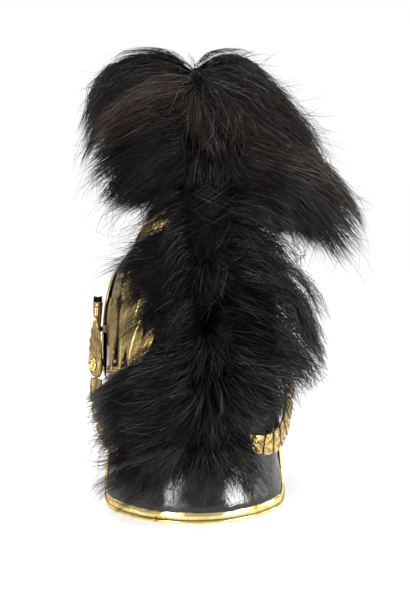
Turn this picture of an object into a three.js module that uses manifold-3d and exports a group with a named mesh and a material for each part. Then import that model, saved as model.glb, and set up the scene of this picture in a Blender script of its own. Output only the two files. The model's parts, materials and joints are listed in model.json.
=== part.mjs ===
// Crested dress helmet of the early nineteenth century cavalry pattern.
// Millimetres, +Z up. The helmet stands on the planar edge of its neck guard and
// on the front edge of its peak. The front faces -Y, the wearer's left is +X.
import * as THREE from 'three';
import * as BufferGeometryUtils from 'three/addons/utils/BufferGeometryUtils.js';
import Module from 'manifold-3d';

const wasm = await Module();
wasm.setup();

// ---------------------------------------------------------------- driving sizes
const LEAN = 10;            // degrees the skull leans forward when it stands
const BASE_Z = 90;          // height of the skull's rim plane at its middle
const SKULL_A = 88;         // half width of the skull at its rim
const SKULL_B = 104;        // half length of the skull at its rim
const SKULL_H = 181;        // height of the skull above its rim plane
const SKULL_N = 3.2;        // squareness of the skull's profile
const LEATHER = 2.2;        // leather thickness
const GAP = 0.4;            // gap between neighbouring pieces
const BRASS = 1.0;          // sheet brass thickness

const GUARD_A = 96;         // neck guard: half width of its lower edge in plan
const GUARD_B = 98;         // neck guard: half length of its lower edge in plan
const GUARD_Y = 15;         // neck guard: centre of its plan ellipse
const GUARD_END = 78;       // neck guard: plan angle of its front edges, from the back
const GUARD_CORNER = 30;    // neck guard: corner radius
const BIND_LOW = 9.5;       // face width of the brass binding along the bottom
const BIND_SIDE = 4.5;      // and up the sides

const PEAK_END = 66;        // peak: plan angle of its ends, from the front
const PEAK_REACH = 50;      // peak: how far it stands out at the middle
const PEAK_T = 2.2;         // peak: leather thickness
const PEAK_BIND = 6;        // face width of its binding
const PEAK_EDGE_Z = 3.19;   // height of the leather's front edge, so that its binding stands on z = 0

const PLATE_END = 82;       // front plate: plan angle of its ends, from the front
const PLATE_OFF = 4.5;      // front plate: stands this far off the skull
const PLATE_T = 1.4;

const COMB_T = 15;          // thickness of the comb
const STRAP_T = 2.0;        // chin strap leather

const SCALES = 10;          // chin scales on each side
const SCALE_W0 = 26;        // width of the scale next to the boss
const SCALE_W1 = 12;        // width of the last scale
const SCALE_T = 1.2;

// ---------------------------------------------------------------- small helpers
const rad = (d) => (d * Math.PI) / 180;
const lerp = (a, b, t) => a + (b - a) * t;
const clamp = (x, a, b) => Math.min(b, Math.max(a, x));
const smooth = (a, b, x) => { const t = clamp((x - a) / (b - a), 0, 1); return t * t * (3 - 2 * t); };
const add = (a, b, k = 1) => [a[0] + b[0] * k, a[1] + b[1] * k, a[2] + b[2] * k];
const sub = (a, b) => [a[0] - b[0], a[1] - b[1], a[2] - b[2]];
const dot = (a, b) => a[0] * b[0] + a[1] * b[1] + a[2] * b[2];
const cross = (a, b) => [a[1] * b[2] - a[2] * b[1], a[2] * b[0] - a[0] * b[2], a[0] * b[1] - a[1] * b[0]];
const norm = (a) => { const l = Math.hypot(...a) || 1; return [a[0] / l, a[1] / l, a[2] / l]; };
const flipX = (p, side) => [side * p[0], p[1], p[2]];
const mix = (a, b, t) => [lerp(a[0], b[0], t), lerp(a[1], b[1], t), lerp(a[2], b[2], t)];

// table look-up: rows of arrays, first column the key, the rest interpolated smoothly
function row(table, key) {
  if (key <= table[0][0]) return table[0];
  const last = table[table.length - 1];
  if (key >= last[0]) return last;
  let i = 0;
  while (table[i + 1][0] < key) i++;
  const p1 = table[i], p2 = table[i + 1];
  const p0 = table[i - 1] || p1, p3 = table[i + 2] || p2;
  const t = (key - p1[0]) / (p2[0] - p1[0]);
  return p1.map((_, c) => {
    if (c === 0) return key;
    const m1 = i > 0 ? ((p2[c] - p0[c]) / (p2[0] - p0[0])) * (p2[0] - p1[0]) : p2[c] - p1[c];
    const m2 = i + 2 < table.length ? ((p3[c] - p1[c]) / (p3[0] - p1[0])) * (p2[0] - p1[0]) : p2[c] - p1[c];
    const t2 = t * t, t3 = t2 * t;
    return (2 * t3 - 3 * t2 + 1) * p1[c] + (t3 - 2 * t2 + t) * m1 + (-2 * t3 + 3 * t2) * p2[c] + (t3 - t2) * m2;
  });
}

// ---------------------------------------------------------------- closed meshes
function geometry(points, tris) {
  const g = new THREE.BufferGeometry();
  g.setAttribute('position', new THREE.Float32BufferAttribute(points.flat(), 3));
  g.setIndex(tris.flat());
  return outward(g);
}
function volume(g) {
  const p = g.attributes.position, ix = g.index;
  let v = 0;
  for (let i = 0; i < ix.count; i += 3) {
    const a = [0, 1, 2].map((k) => { const j = ix.getX(i + k); return [p.getX(j), p.getY(j), p.getZ(j)]; });
    v += dot(a[0], cross(a[1], a[2])) / 6;
  }
  return v;
}
function outward(g) {
  if (volume(g) < 0) {
    const ix = g.index;
    for (let i = 0; i < ix.count; i += 3) { const a = ix.getX(i); ix.setX(i, ix.getX(i + 1)); ix.setX(i + 1, a); }
  }
  return g;
}
// triangles over a folded strip's section, whose second half runs back beside its first
function foldedCap(n) {
  const tris = [];
  for (let k = 0; k < n / 2 - 1; k++) tris.push([k, k + 1, n - 1 - k], [k + 1, n - 2 - k, n - 1 - k]);
  return tris;
}
// triangles over a flat ring, wound the way the ring runs
function cap(ring) {
  let nrm = [0, 0, 0];
  ring.forEach((p, k) => { nrm = add(nrm, cross(p, ring[(k + 1) % ring.length])); });
  nrm = norm(nrm);
  const X = norm(sub(ring[1], ring[0])), Y = cross(nrm, X);
  const flat = ring.map((p) => new THREE.Vector2(dot(p, X), dot(p, Y)));
  return THREE.ShapeUtils.triangulateShape(flat, []);
}
// a tube of rings, each ring the same number of points, closed at its two ends
function loft(rings, folded = false) {
  const n = rings[0].length, pts = rings.flat(), tris = [];
  const m = rings.length;
  for (let i = 0; i < m - 1; i++) {
    const j = i + 1;
    for (let k = 0; k < n; k++) {
      const k2 = (k + 1) % n;
      tris.push([i * n + k, i * n + k2, j * n + k2], [i * n + k, j * n + k2, j * n + k]);
    }
  }
  for (const [i, flip] of [[0, true], [m - 1, false]]) {
    for (const [a, b, c] of folded ? foldedCap(n) : cap(rings[i])) tris.push(flip ? [i * n + a, i * n + c, i * n + b] : [i * n + a, i * n + b, i * n + c]);
  }
  return geometry(pts, tris);
}
// a sheet of thickness: outer and inner grids of the same shape, rows by columns, sewn round the edge
function sheet(outer, inner) {
  const m = outer.length, n = outer[0].length, pts = [...outer.flat(), ...inner.flat()], tris = [];
  const O = (i, k) => i * n + k, I = (i, k) => m * n + i * n + k;
  for (let i = 0; i < m - 1; i++) for (let k = 0; k < n - 1; k++) {
    tris.push([O(i, k), O(i, k + 1), O(i + 1, k + 1)], [O(i, k), O(i + 1, k + 1), O(i + 1, k)]);
    tris.push([I(i, k), I(i + 1, k + 1), I(i, k + 1)], [I(i, k), I(i + 1, k), I(i + 1, k + 1)]);
  }
  for (let k = 0; k < n - 1; k++) {
    tris.push([O(0, k), I(0, k), I(0, k + 1)], [O(0, k), I(0, k + 1), O(0, k + 1)]);
    tris.push([O(m - 1, k), I(m - 1, k + 1), I(m - 1, k)], [O(m - 1, k), O(m - 1, k + 1), I(m - 1, k + 1)]);
  }
  for (let i = 0; i < m - 1; i++) {
    tris.push([O(i, 0), I(i + 1, 0), I(i, 0)], [O(i, 0), O(i + 1, 0), I(i + 1, 0)]);
    tris.push([O(i, n - 1), I(i, n - 1), I(i + 1, n - 1)], [O(i, n - 1), I(i + 1, n - 1), O(i + 1, n - 1)]);
  }
  return geometry(pts, tris);
}
function toManifold(g) {
  const c = g.clone();
  for (const name of Object.keys(c.attributes)) if (name !== 'position') c.deleteAttribute(name);
  const m = BufferGeometryUtils.mergeVertices(c, 1e-4);
  return new wasm.Manifold(new wasm.Mesh({
    numProp: 3,
    vertProperties: new Float32Array(m.attributes.position.array),
    triVerts: new Uint32Array(m.index.array),
  }));
}
function fromManifold(solid) {
  const mesh = solid.getMesh();
  const g = new THREE.BufferGeometry();
  g.setAttribute('position', new THREE.BufferAttribute(new Float32Array(mesh.vertProperties), 3));
  g.setIndex(new THREE.BufferAttribute(new Uint32Array(mesh.triVerts), 1));
  return g;
}
const union = (...gs) => fromManifold(gs.map(toManifold).reduce((a, b) => a.add(b)));
const minus = (g, ...cuts) => fromManifold(cuts.map(toManifold).reduce((a, b) => a.subtract(b), toManifold(g)));

// ---------------------------------------------------------------- skull
const CT = Math.cos(rad(LEAN)), ST = Math.sin(rad(LEAN));
// helmet frame (x, yp back, h up from the rim plane) to the standing frame
const stand = (x, yp, h) => [x, yp * CT - h * ST, BASE_Z + yp * ST + h * CT];
// relative radius of the skull at height h
const skullR = (h, off = 0) => Math.pow(1 - Math.pow(clamp(h / (SKULL_H + off), 0, 1), SKULL_N), 1 / SKULL_N);
// point on the skull: plan angle from the back (90 is the wearer's left), height h, offset outwards
function onSkull(angle, h, off = 0) {
  const r = skullR(h, off), c = Math.cos(rad(angle)), s = Math.sin(rad(angle));
  return stand((SKULL_A + off) * r * s, (SKULL_B + off) * r * c, h);
}
function skullNormal(angle, h) {
  const p = onSkull(angle, h), q = onSkull(angle, h, 2);
  const e = 0.5;
  const ta = sub(onSkull(angle + e, h), onSkull(angle - e, h));
  const th = sub(onSkull(angle, h + e), onSkull(angle, h - e));
  let n = norm(cross(ta, th));
  if (dot(n, sub(q, p)) < 0) n = n.map((v) => -v);
  return n;
}
function dome(off, cols, ringsN, hLow = 0) {
  // closed dome rings from the rim up, then the apex
  const rings = [];
  for (let i = 0; i < ringsN; i++) {
    const phi = (i / ringsN) * (Math.PI / 2);
    const h = hLow + (SKULL_H + off - hLow) * Math.pow(Math.sin(phi), 2 / 2.6);
    const r = Math.pow(1 - Math.pow(h / (SKULL_H + off), SKULL_N), 1 / SKULL_N);
    rings.push([...Array(cols).keys()].map((k) => {
      const a = (k / cols) * 2 * Math.PI;
      return stand((SKULL_A + off) * r * Math.sin(a), (SKULL_B + off) * r * Math.cos(a), h);
    }));
  }
  return { rings, apex: stand(0, 0, SKULL_H + off) };
}
function skull() {
  const cols = 40, rn = 10;
  const o = dome(0, cols, rn), i = dome(-LEATHER, cols, rn);
  const pts = [...o.rings.flat(), o.apex, ...i.rings.flat(), i.apex], tris = [];
  const OI = cols * rn + 1;
  for (const [base, flip] of [[0, false], [OI, true]]) {
    for (let r = 0; r < rn - 1; r++) for (let k = 0; k < cols; k++) {
      const a = base + r * cols + k, b = base + r * cols + ((k + 1) % cols), c = a + cols, d = b + cols;
      tris.push(flip ? [a, b, d] : [a, d, b], flip ? [a, d, c] : [a, c, d]);
    }
    for (let k = 0; k < cols; k++) {
      const a = base + (rn - 1) * cols + k, b = base + (rn - 1) * cols + ((k + 1) % cols), t = base + rn * cols;
      tris.push(flip ? [a, b, t] : [a, t, b]);
    }
  }
  for (let k = 0; k < cols; k++) {
    const a = k, b = (k + 1) % cols, c = OI + k, d = OI + ((k + 1) % cols);
    tris.push([a, b, d], [a, d, c]);
  }
  return geometry(pts, tris);
}
function domeSolid(off, cols, rn, hLow) {
  const o = dome(off, cols, rn, hLow);
  const pts = [...o.rings.flat(), o.apex], tris = [];
  for (let r = 0; r < rn - 1; r++) for (let k = 0; k < cols; k++) {
    const a = r * cols + k, b = r * cols + ((k + 1) % cols);
    tris.push([a, b + cols, b], [a, a + cols, b + cols]);
  }
  for (let k = 0; k < cols; k++) tris.push([(rn - 1) * cols + k, rn * cols, (rn - 1) * cols + ((k + 1) % cols)]);
  const ci = pts.push(o.rings[0].reduce((s, p) => add(s, p, 1 / cols), [0, 0, 0])) - 1;
  for (let k = 0; k < cols; k++) tris.push([ci, k, (k + 1) % cols]);
  return geometry(pts, tris);
}

// ---------------------------------------------------------------- neck guard
// plan angle from the back; v from 0 at the skull's rim to 1 at the plane z = 0
function guardPoint(angle, z, off = 0) {
  const s = Math.sin(rad(angle)), c = Math.cos(rad(angle));
  const low = [(GUARD_A + off) * s, GUARD_Y + (GUARD_B + off) * c];
  // the skull's rim at the same side of the head
  const a2 = angle * 0.92;
  const top = stand((SKULL_A + off) * Math.sin(rad(a2)), (SKULL_B + off) * Math.cos(rad(a2)), -GAP);
  const v = clamp(1 - z / top[2], 0, 1.05);
  const f = 0.42 * v + 0.58 * Math.pow(v, 3.4);
  return [lerp(top[0], low[0], f), lerp(top[1], low[1], f), z];
}
const guardTop = (angle) => stand(SKULL_A * Math.sin(rad(angle * 0.92)), SKULL_B * Math.cos(rad(angle * 0.92)), -GAP)[2];
// arc length along the lower edge, as a table, so that the corner is round in the sheet
const ARC = (() => {
  const t = [[0, 0]];
  let s = 0;
  for (let a = 1; a <= 800; a++) {
    const p = guardPoint((a - 1) * 0.1, 12), q = guardPoint(a * 0.1, 12);
    s += Math.hypot(q[0] - p[0], q[1] - p[1]);
    t.push([a * 0.1, s]);
  }
  return t;
})();
const arcAt = (angle) => ARC[clamp(Math.round(Math.abs(angle) * 10), 0, 800)][1];
const angleAt = (arc) => { let i = 0; while (i < 799 && ARC[i][1] < arc) i++; const f = (arc - ARC[i - 1 < 0 ? 0 : i - 1][1]) / Math.max(1e-9, ARC[i][1] - ARC[i - 1 < 0 ? 0 : i - 1][1]); return (ARC[i - 1 < 0 ? 0 : i - 1][0] + f * 0.1); };
const ARC_END = arcAt(GUARD_END);
const EDGE_Z = BRASS + 0.35;      // the leather's lower edge stands inside the folded brass
// lower edge of the leather at arc length s from the back
function edgeZ(s) {
  const d = Math.abs(s) - (ARC_END - GUARD_CORNER);
  if (d <= 0) return EDGE_Z;
  const x = clamp(d / GUARD_CORNER, 0, 1);
  return EDGE_Z + GUARD_CORNER * (1 - Math.sqrt(Math.max(0, 1 - x * x)));
}
function guardColumns() {
  const cols = [];
  const nStraight = 22, nCorner = 5;
  const S0 = ARC_END - GUARD_CORNER;
  for (let i = -nCorner; i < 0; i++) cols.push(-(S0 + GUARD_CORNER * Math.sin((-i / nCorner) * Math.PI / 2)));
  for (let i = 0; i <= nStraight; i++) cols.push(lerp(-S0, S0, i / nStraight));
  for (let i = 1; i <= nCorner; i++) cols.push(S0 + GUARD_CORNER * Math.sin((i / nCorner) * Math.PI / 2));
  return cols;
}
const signed = (s) => Math.sign(s) * angleAt(Math.abs(s));
function neckGuard() {
  const cols = guardColumns(), rows = 6, outer = [], inner = [];
  for (let j = 0; j <= rows; j++) {
    outer.push([]); inner.push([]);
    for (const s of cols) {
      const a = signed(s), zl = edgeZ(s), zt = guardTop(a);
      const z = lerp(zl, zt, Math.pow(j / rows, 1.4));
      outer[j].push(guardPoint(a, z, 0));
      inner[j].push(guardPoint(a, z, -LEATHER));
    }
  }
  return sheet(outer, inner);
}
// a folded brass strip over an edge: at each station the section runs down the outside, round the edge and up the inside
function guardBinding() {
  const rings = [];
  const a1 = GAP, a2 = GAP + BRASS;
  const S0 = ARC_END - GUARD_CORNER;
  const stations = [];
  // up the sides, round the corners and along the bottom: [arc, z, inward arc, inward z, width]
  const topZ = guardTop(GUARD_END) - 1.5;
  const half = [];
  for (let i = 0; i <= 5; i++) half.push([ARC_END, lerp(topZ, GUARD_CORNER + EDGE_Z, i / 5), -1, 0, BIND_SIDE]);
  for (let i = 1; i <= 8; i++) {
    const t = (i / 8) * Math.PI / 2;
    half.push([S0 + GUARD_CORNER * Math.cos(t), EDGE_Z + GUARD_CORNER * (1 - Math.sin(t)), -Math.cos(t), Math.sin(t), lerp(BIND_SIDE, BIND_LOW, i / 8)]);
  }
  for (let i = 1; i <= 13; i++) half.push([lerp(S0, 0, i / 13), EDGE_Z, 0, 1, BIND_LOW]);
  for (const h of half) stations.push([...h, 1]);
  for (const h of half.slice(0, -1).reverse()) stations.push([...h, -1]);
  for (const [s, z, ds, dz, w, side] of stations) {
    const at = (d, off) => {
      const arc = Math.max(0, s + ds * d);
      const p = guardPoint(angleAt(arc), Math.max(0, z + dz * d), off);
      return [side * p[0], p[1], p[2]];
    };
    const e1 = 0.35, e2 = 0.35 + BRASS;
    // beyond the edge the strip leaves the sheet straight on
    rings.push([
      at(w, a2), at(w * 0.5, a2), at(-e2, a2), at(-e2, -LEATHER - a2), at(w * 0.5, -LEATHER - a2), at(w * 0.8, -LEATHER - a2),
      at(w * 0.8, -LEATHER - a1), at(w * 0.5, -LEATHER - a1), at(-e1, -LEATHER - a1), at(-e1, a1), at(w * 0.5, a1), at(w, a1),
    ]);
  }
  return loft(rings, true);
}

// ---------------------------------------------------------------- peak
// u from -1 to 1 across the brow, v from 0 at the skull to 1 at the edge
const PEAK_LIFT = 26;       // how much higher the ends of the peak's edge are than its middle
function peakPoint(u, v, off = 0) {
  const a = 180 - u * PEAK_END;
  const root = stand(SKULL_A * Math.sin(rad(a)), SKULL_B * Math.cos(rad(a)), -GAP - 0.2);
  const reach = PEAK_REACH * (1 - 0.8 * Math.pow(Math.abs(u), 2.4));
  const flat = clamp((Math.abs(u) - 0.36) / 0.64, 0, 1);
  const edgeZp = PEAK_EDGE_Z + PEAK_LIFT * flat * flat;
  const edge = [root[0] * (1 + 0.12 * (1 - Math.abs(u))), root[1] - reach, edgeZp];
  const p = mix(root, edge, v);
  // the peak is slightly arched along its slope
  p[2] += 5 * Math.sin(Math.PI * v) * (1 - Math.pow(Math.abs(u), 2));
  return off === 0 ? p : add(p, peakNormal(u, v), off);
}
function peakNormal(u, v) {
  const e = 0.01;
  const du = sub(peakPoint(Math.min(1, u + e), v), peakPoint(Math.max(-1, u - e), v));
  const dv = sub(peakPoint(u, Math.min(1, v + e)), peakPoint(u, Math.max(0, v - e)));
  let n = norm(cross(du, dv));
  if (n[2] < 0) n = n.map((c) => -c);
  return n;
}
function frontPeak() {
  const nu = 24, nv = 5, outer = [], inner = [];
  for (let j = 0; j <= nv; j++) {
    outer.push([]); inner.push([]);
    for (let i = 0; i <= nu; i++) {
      const u = lerp(-1, 1, i / nu), v = j / nv;
      outer[j].push(peakPoint(u, v, 0));
      inner[j].push(peakPoint(u, v, -PEAK_T));
    }
  }
  return sheet(outer, inner);
}
function peakSection(u) {
  const root = peakPoint(u, 0), edge = peakPoint(u, 1);
  const f = PEAK_BIND / Math.hypot(...sub(edge, root));
  const down = norm(sub(edge, peakPoint(u, 0.96)));
  const at = (d, o) => { // d inwards along the slope, o off the upper face
    const v = d >= 0 ? 1 - (d / PEAK_BIND) * f : 1;
    return add(add(peakPoint(u, v), down, d < 0 ? -d : 0), peakNormal(u, v), o);
  };
  const a1 = 0.5, a2 = 0.5 + BRASS;
  return [
    at(PEAK_BIND, a2), at(-0.5 - BRASS, a2), at(-0.5 - BRASS, -PEAK_T - a2), at(PEAK_BIND * 0.8, -PEAK_T - a2),
    at(PEAK_BIND * 0.8, -PEAK_T - a1), at(-0.5, -PEAK_T - a1), at(-0.5, a1), at(PEAK_BIND, a1),
  ];
}
function peakBinding() {
  const n = 24, all = [...Array(n + 1).keys()].map((i) => peakSection(lerp(-1, 1, i / n)));
  const short = (end, next) => end.map((p, k) => mix(p, next[k], 0.3));
  all[0] = short(all[0], all[1]);
  all[n] = short(all[n], all[n - 1]);
  return loft(all, true);
}

// ---------------------------------------------------------------- front plate
// columns: plan angle from the front, height of the upper edge, height of the lower edge
const PLATE_EDGE = [
  [0, 218, 10], [12, 212, 9], [26, 197, 8], [36, 184, 8], [46, 172, 9], [56, 161, 12], [64, 153, 18], [73, 141, 28], [79, 128, 42], [82, 104, 64],
];
function platePoint(angle, h, off = 0) {
  const a = Math.abs(angle);
  const hug = 1 - smooth(36, 66, a);
  const close = skullR(h, 0) + PLATE_OFF / SKULL_A;
  const upright = 1 + PLATE_OFF / SKULL_A - 0.13 * Math.pow(clamp(h / 190, 0, 1.3), 2);
  const r = Math.max(close, lerp(close, upright, hug));
  const aa = rad(180 - angle);
  return stand((SKULL_A * r + off) * Math.sin(aa), (SKULL_B * r + off) * Math.cos(aa), h);
}
function frontPlate() {
  const nu = 24, nv = 7, outer = [], inner = [];
  for (let j = 0; j <= nv; j++) {
    outer.push([]); inner.push([]);
    for (let i = 0; i <= nu; i++) {
      const a = lerp(-PLATE_END, PLATE_END, i / nu);
      const [, hi, lo] = row(PLATE_EDGE, Math.abs(a));
      const h = lerp(lo, hi, j / nv);
      outer[j].push(platePoint(a, h, PLATE_T));
      inner[j].push(platePoint(a, h, 0));
    }
  }
  return sheet(outer, inner);
}

// ---------------------------------------------------------------- comb
// columns: plan side of the skull's centre line as profile angle, then the comb's upper edge (y, z)
const COMB = [
  [62, -78, 312], [72, -56, 336], [84, -24, 349], [96, 14, 350], [108, 50, 337], [120, 80, 311],
  [132, 101, 277], [144, 113, 240], [154, 118, 204], [163, 119, 172], [170, 116, 146], [176, 112, 124],
];
function combFoot(profile) {
  // profile angle 0 at the front rim, 90 at the top, 180 at the back rim
  const t = rad(profile), c = -Math.cos(t), s = Math.sin(t), k = 2 / SKULL_N;
  const off = 0.6;
  return stand(0, Math.sign(c) * (SKULL_B + off) * Math.pow(Math.abs(c), k), (SKULL_H + off) * Math.pow(s, k));
}
function combSolid(grow = 0) {
  const rings = [];
  const steps = grow ? 12 : 24;
  for (let i = 0; i <= steps; i++) {
    const [profile, y, z] = row(COMB, lerp(COMB[0][0], COMB[COMB.length - 1][0], i / steps));
    const foot = combFoot(profile), top = [0, y, z];
    const d = norm(sub(top, foot));
    const a = add(foot, d, grow ? -6 : 0), b = add(top, d, grow);
    const w0 = COMB_T / 2 + grow, w1 = COMB_T / 2 - 2 + grow;
    const bead = (p, k) => add(p, d, -k);
    rings.push([
      [w0, a[1], a[2]], [w0 * 0.8, ...mix(a, b, 0.5).slice(1)], [w1, ...bead(b, 2.5).slice(1)], [w1 * 0.5, b[1], b[2]],
      [-w1 * 0.5, b[1], b[2]], [-w1, ...bead(b, 2.5).slice(1)], [-w0 * 0.8, ...mix(a, b, 0.5).slice(1)], [-w0, a[1], a[2]],
    ]);
  }
  if (grow) {
    const f = rings[0].map((p) => add(p, [0, -grow, 0])), l = rings[rings.length - 1].map((p) => add(p, [0, 0, -grow - 4]));
    rings.unshift(f); rings.push(l);
  }
  return loft(rings);
}

// ---------------------------------------------------------------- fur
// Each row is one lock of the outer form, in order round the root line. A lock is a cubic curve from the root:
// d is its distance out along its heading, n its height above the root along the crest's own outward direction,
// g its fall. Columns: t along the root line, heading, d1, n1, g1, d2, n2, g2, d3, n3, g3.
const MOP_ROOT = [[0, 3, 48, 410], [0.3, 3, 5, 424], [0.6, 3, -45, 422], [1, 3, -118, 384]];
const MOP = [
  // t  heading  d1  n1 g1   d2  n2 g2   d3  n3  g3
  [0.00, 0, 18, 16, 0, 74, 6, 8, 70, 0, 112],
  [0.00, 40, 20, 24, 0, 90, 14, 6, 82, 0, 94],
  [0.10, 78, 30, 32, 0, 122, 24, 4, 88, 0, 98],
  [0.32, 90, 36, 36, 0, 143, 29, 0, 94, 0, 98],
  [0.55, 92, 36, 36, 0, 144, 30, 0, 97, 0, 104],
  [0.80, 98, 34, 34, 0, 132, 27, 2, 94, 0, 112],
  [1.00, 128, 26, 30, 0, 104, 22, 6, 88, 0, 105],
  [1.00, 160, 20, 28, 0, 88, 16, 8, 82, 0, 115],
  [1.00, 200, 20, 28, 0, 90, 14, 10, 84, 0, 118],
  [1.00, 232, 32, 40, 0, 120, 0, 40, 100, 0, 130],
  [0.80, 262, 58, 60, 0, 186, 0, 90, 144, 0, 162],
  [0.55, 268, 66, 66, 0, 212, 0, 106, 160, 0, 180],
  [0.32, 270, 66, 64, 0, 214, 0, 108, 158, 0, 182],
  [0.10, 282, 48, 52, 0, 160, 0, 60, 120, 0, 130],
  [0.00, 318, 26, 30, 0, 104, 4, 20, 92, 0, 108],
];
const MANE_ROOT = [[0, 0, 74, 336], [0.25, -2, 108, 300], [0.5, -5, 124, 246], [0.75, -7, 128, 190], [1, -8, 124, 142]];
const MANE = [
  [0.00, 0, 10, 14, 0, 20, 26, 0, 24, 10, 0],
  [0.04, 60, 16, 20, 0, 44, 34, 2, 46, 8, 36],
  [0.22, 86, 18, 32, 0, 50, 42, 4, 44, 8, 56],
  [0.45, 92, 20, 44, 0, 48, 48, 4, 40, 8, 66],
  [0.66, 96, 22, 52, 0, 52, 54, 2, 44, 6, 56],
  [0.84, 102, 28, 54, 0, 84, 48, 0, 78, 4, 40],
  [0.97, 112, 30, 54, 0, 98, 44, 2, 92, 6, 18],
  [1.00, 145, 24, 54, 0, 76, 46, 2, 78, 10, 8],
  [1.00, 180, 20, 54, 0, 58, 50, 2, 60, 18, 4],
  [1.00, 215, 24, 54, 0, 72, 48, 2, 72, 14, 6],
  [0.90, 248, 30, 54, 0, 92, 48, 2, 82, 6, 24],
  [0.68, 264, 36, 52, 0, 124, 48, 2, 104, 4, 52],
  [0.45, 270, 34, 46, 0, 118, 44, 4, 104, 4, 78],
  [0.22, 276, 26, 34, 0, 92, 40, 4, 84, 6, 74],
  [0.04, 300, 16, 22, 0, 56, 34, 2, 62, 8, 44],
];
const TUFT_ROOT = [[0, -6, 131, 128], [1, -6, 130, 104]];
const TUFT = [
  [0.0, 0, 4, 8, 0, 6, 14, 0, 8, 4, 0],
  [0.2, 90, 26, 18, 0, 68, 30, 8, 84, 0, 44],
  [0.8, 108, 26, 20, 0, 76, 30, 6, 94, 0, 30],
  [1.0, 140, 18, 20, 0, 50, 30, 4, 62, 6, 14],
  [1.0, 180, 14, 20, 0, 36, 30, 4, 46, 12, 12],
  [1.0, 220, 18, 20, 0, 44, 30, 4, 54, 8, 16],
  [0.8, 250, 24, 20, 0, 58, 30, 6, 68, 2, 28],
  [0.2, 270, 24, 18, 0, 50, 28, 8, 60, 0, 40],
];
const KINDS = {
  // outward direction of the crest along the root line: columns t, y, z
  mop: { root: MOP_ROOT, rows: MOP, out: [[0, 0, 1], [1, 0, 1]] },
  mane: { root: MANE_ROOT, rows: MANE, out: [[0, 0.72, 0.69], [0.25, 0.92, 0.4], [0.5, 1, 0.08], [1, 0.97, -0.25]] },
  tuft: { root: TUFT_ROOT, rows: TUFT, out: [[0, 1, 0], [1, 1, 0]] },
};
function furRow(rows, u) {
  const n = rows.length, x = ((u % 1) + 1) % 1 * n, i = Math.floor(x), t = x - i;
  const P = (k) => rows[((i + k) % n + n) % n];
  const lap = (k) => (i + k < 0 ? -360 : i + k >= n ? 360 : 0);
  return P(0).map((_, c) => {
    const [a, b, d, e] = [-1, 0, 1, 2].map((k) => P(k)[c] + (c === 1 ? lap(k) : 0));
    const t2 = t * t, t3 = t2 * t;
    return 0.5 * (2 * b + (d - a) * t + (2 * a - 5 * b + 4 * d - e) * t2 + (3 * b - a - 3 * d + e) * t3);
  });
}
function furPoint(kind, u, v) {
  const { root, rows, out } = KINDS[kind];
  const r = furRow(rows, u), t = clamp(r[0], 0, 1);
  const [, rx, ry, rz] = row(root, t), [, oy, oz] = row(out, t);
  const N = norm([0, oy, oz]);
  const side = kind === 'mop';
  const hd = rad(r[1]);
  // headings: for the mop 0 is backwards and 90 the wearer's left; down the back 0 is up the crest and 180 down it
  const D = side ? [Math.sin(hd), Math.cos(hd), 0] : [Math.sin(hd), -N[2] * Math.cos(hd), N[1] * Math.cos(hd)];
  const w = [3 * (1 - v) * (1 - v) * v, 3 * (1 - v) * v * v, v * v * v];
  const d = w[0] * r[2] + w[1] * r[5] + w[2] * r[8];
  const n = w[0] * r[3] + w[1] * r[6] + w[2] * r[9];
  const g = w[0] * r[4] + w[1] * r[7] + w[2] * r[10];
  return [rx + D[0] * d + N[0] * n, ry + D[1] * d + N[1] * n, rz + D[2] * d + N[2] * n - g];
}
function furSolid(kind, cols, rows, deep) {
  // outer form, then back under to a line deep inside the crest
  const { root, out } = KINDS[kind];
  const rings = [];
  for (let j = 1; j <= rows; j++) {
    const v = Math.pow(j / rows, 0.9);
    rings.push([...Array(cols).keys()].map((k) => furPoint(kind, k / cols, v)));
  }
  const r0 = [...Array(cols).keys()].map((k) => {
    const r = furRow(KINDS[kind].rows, k / cols), t = clamp(r[0], 0, 1);
    const [, x, y, z] = row(root, t), [, oy, oz] = row(out, t), N = norm([0, oy, oz]);
    return { P: [x, y, z], N, tip: furPoint(kind, k / cols, 1) };
  });
  const c = (p) => r0.map(p);
  const inner = c(({ P, N, tip }) => add(mix(P, tip, 0.28), N, -deep * 0.72));
  rings.push(inner);
  const topC = r0.reduce((s, q) => add(s, q.P, 1 / cols), [0, 0, 0]);
  const pts = rings.flat(), tris = [];
  for (let i = 0; i < rings.length - 1; i++) for (let k = 0; k < cols; k++) {
    const a = i * cols + k, b = i * cols + ((k + 1) % cols);
    tris.push([a, b + cols, b], [a, a + cols, b + cols]);
  }
  // the top closes along the root line: a strip between matching columns on either side
  const close = (base, flip) => {
    const half = cols / 2;
    for (let k = 0; k < half; k++) {
      const a = base + k, b = base + k + 1, c2 = base + ((cols - k) % cols), d = base + (cols - k - 1);
      if (k > 0) tris.push(flip ? [a, c2, b] : [a, b, c2]);
      if (b !== d) tris.push(flip ? [b, c2, d] : [b, d, c2]);
    }
  };
  close(0, false);
  close((rings.length - 1) * cols, true);
  return geometry(pts, tris);
}

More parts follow.
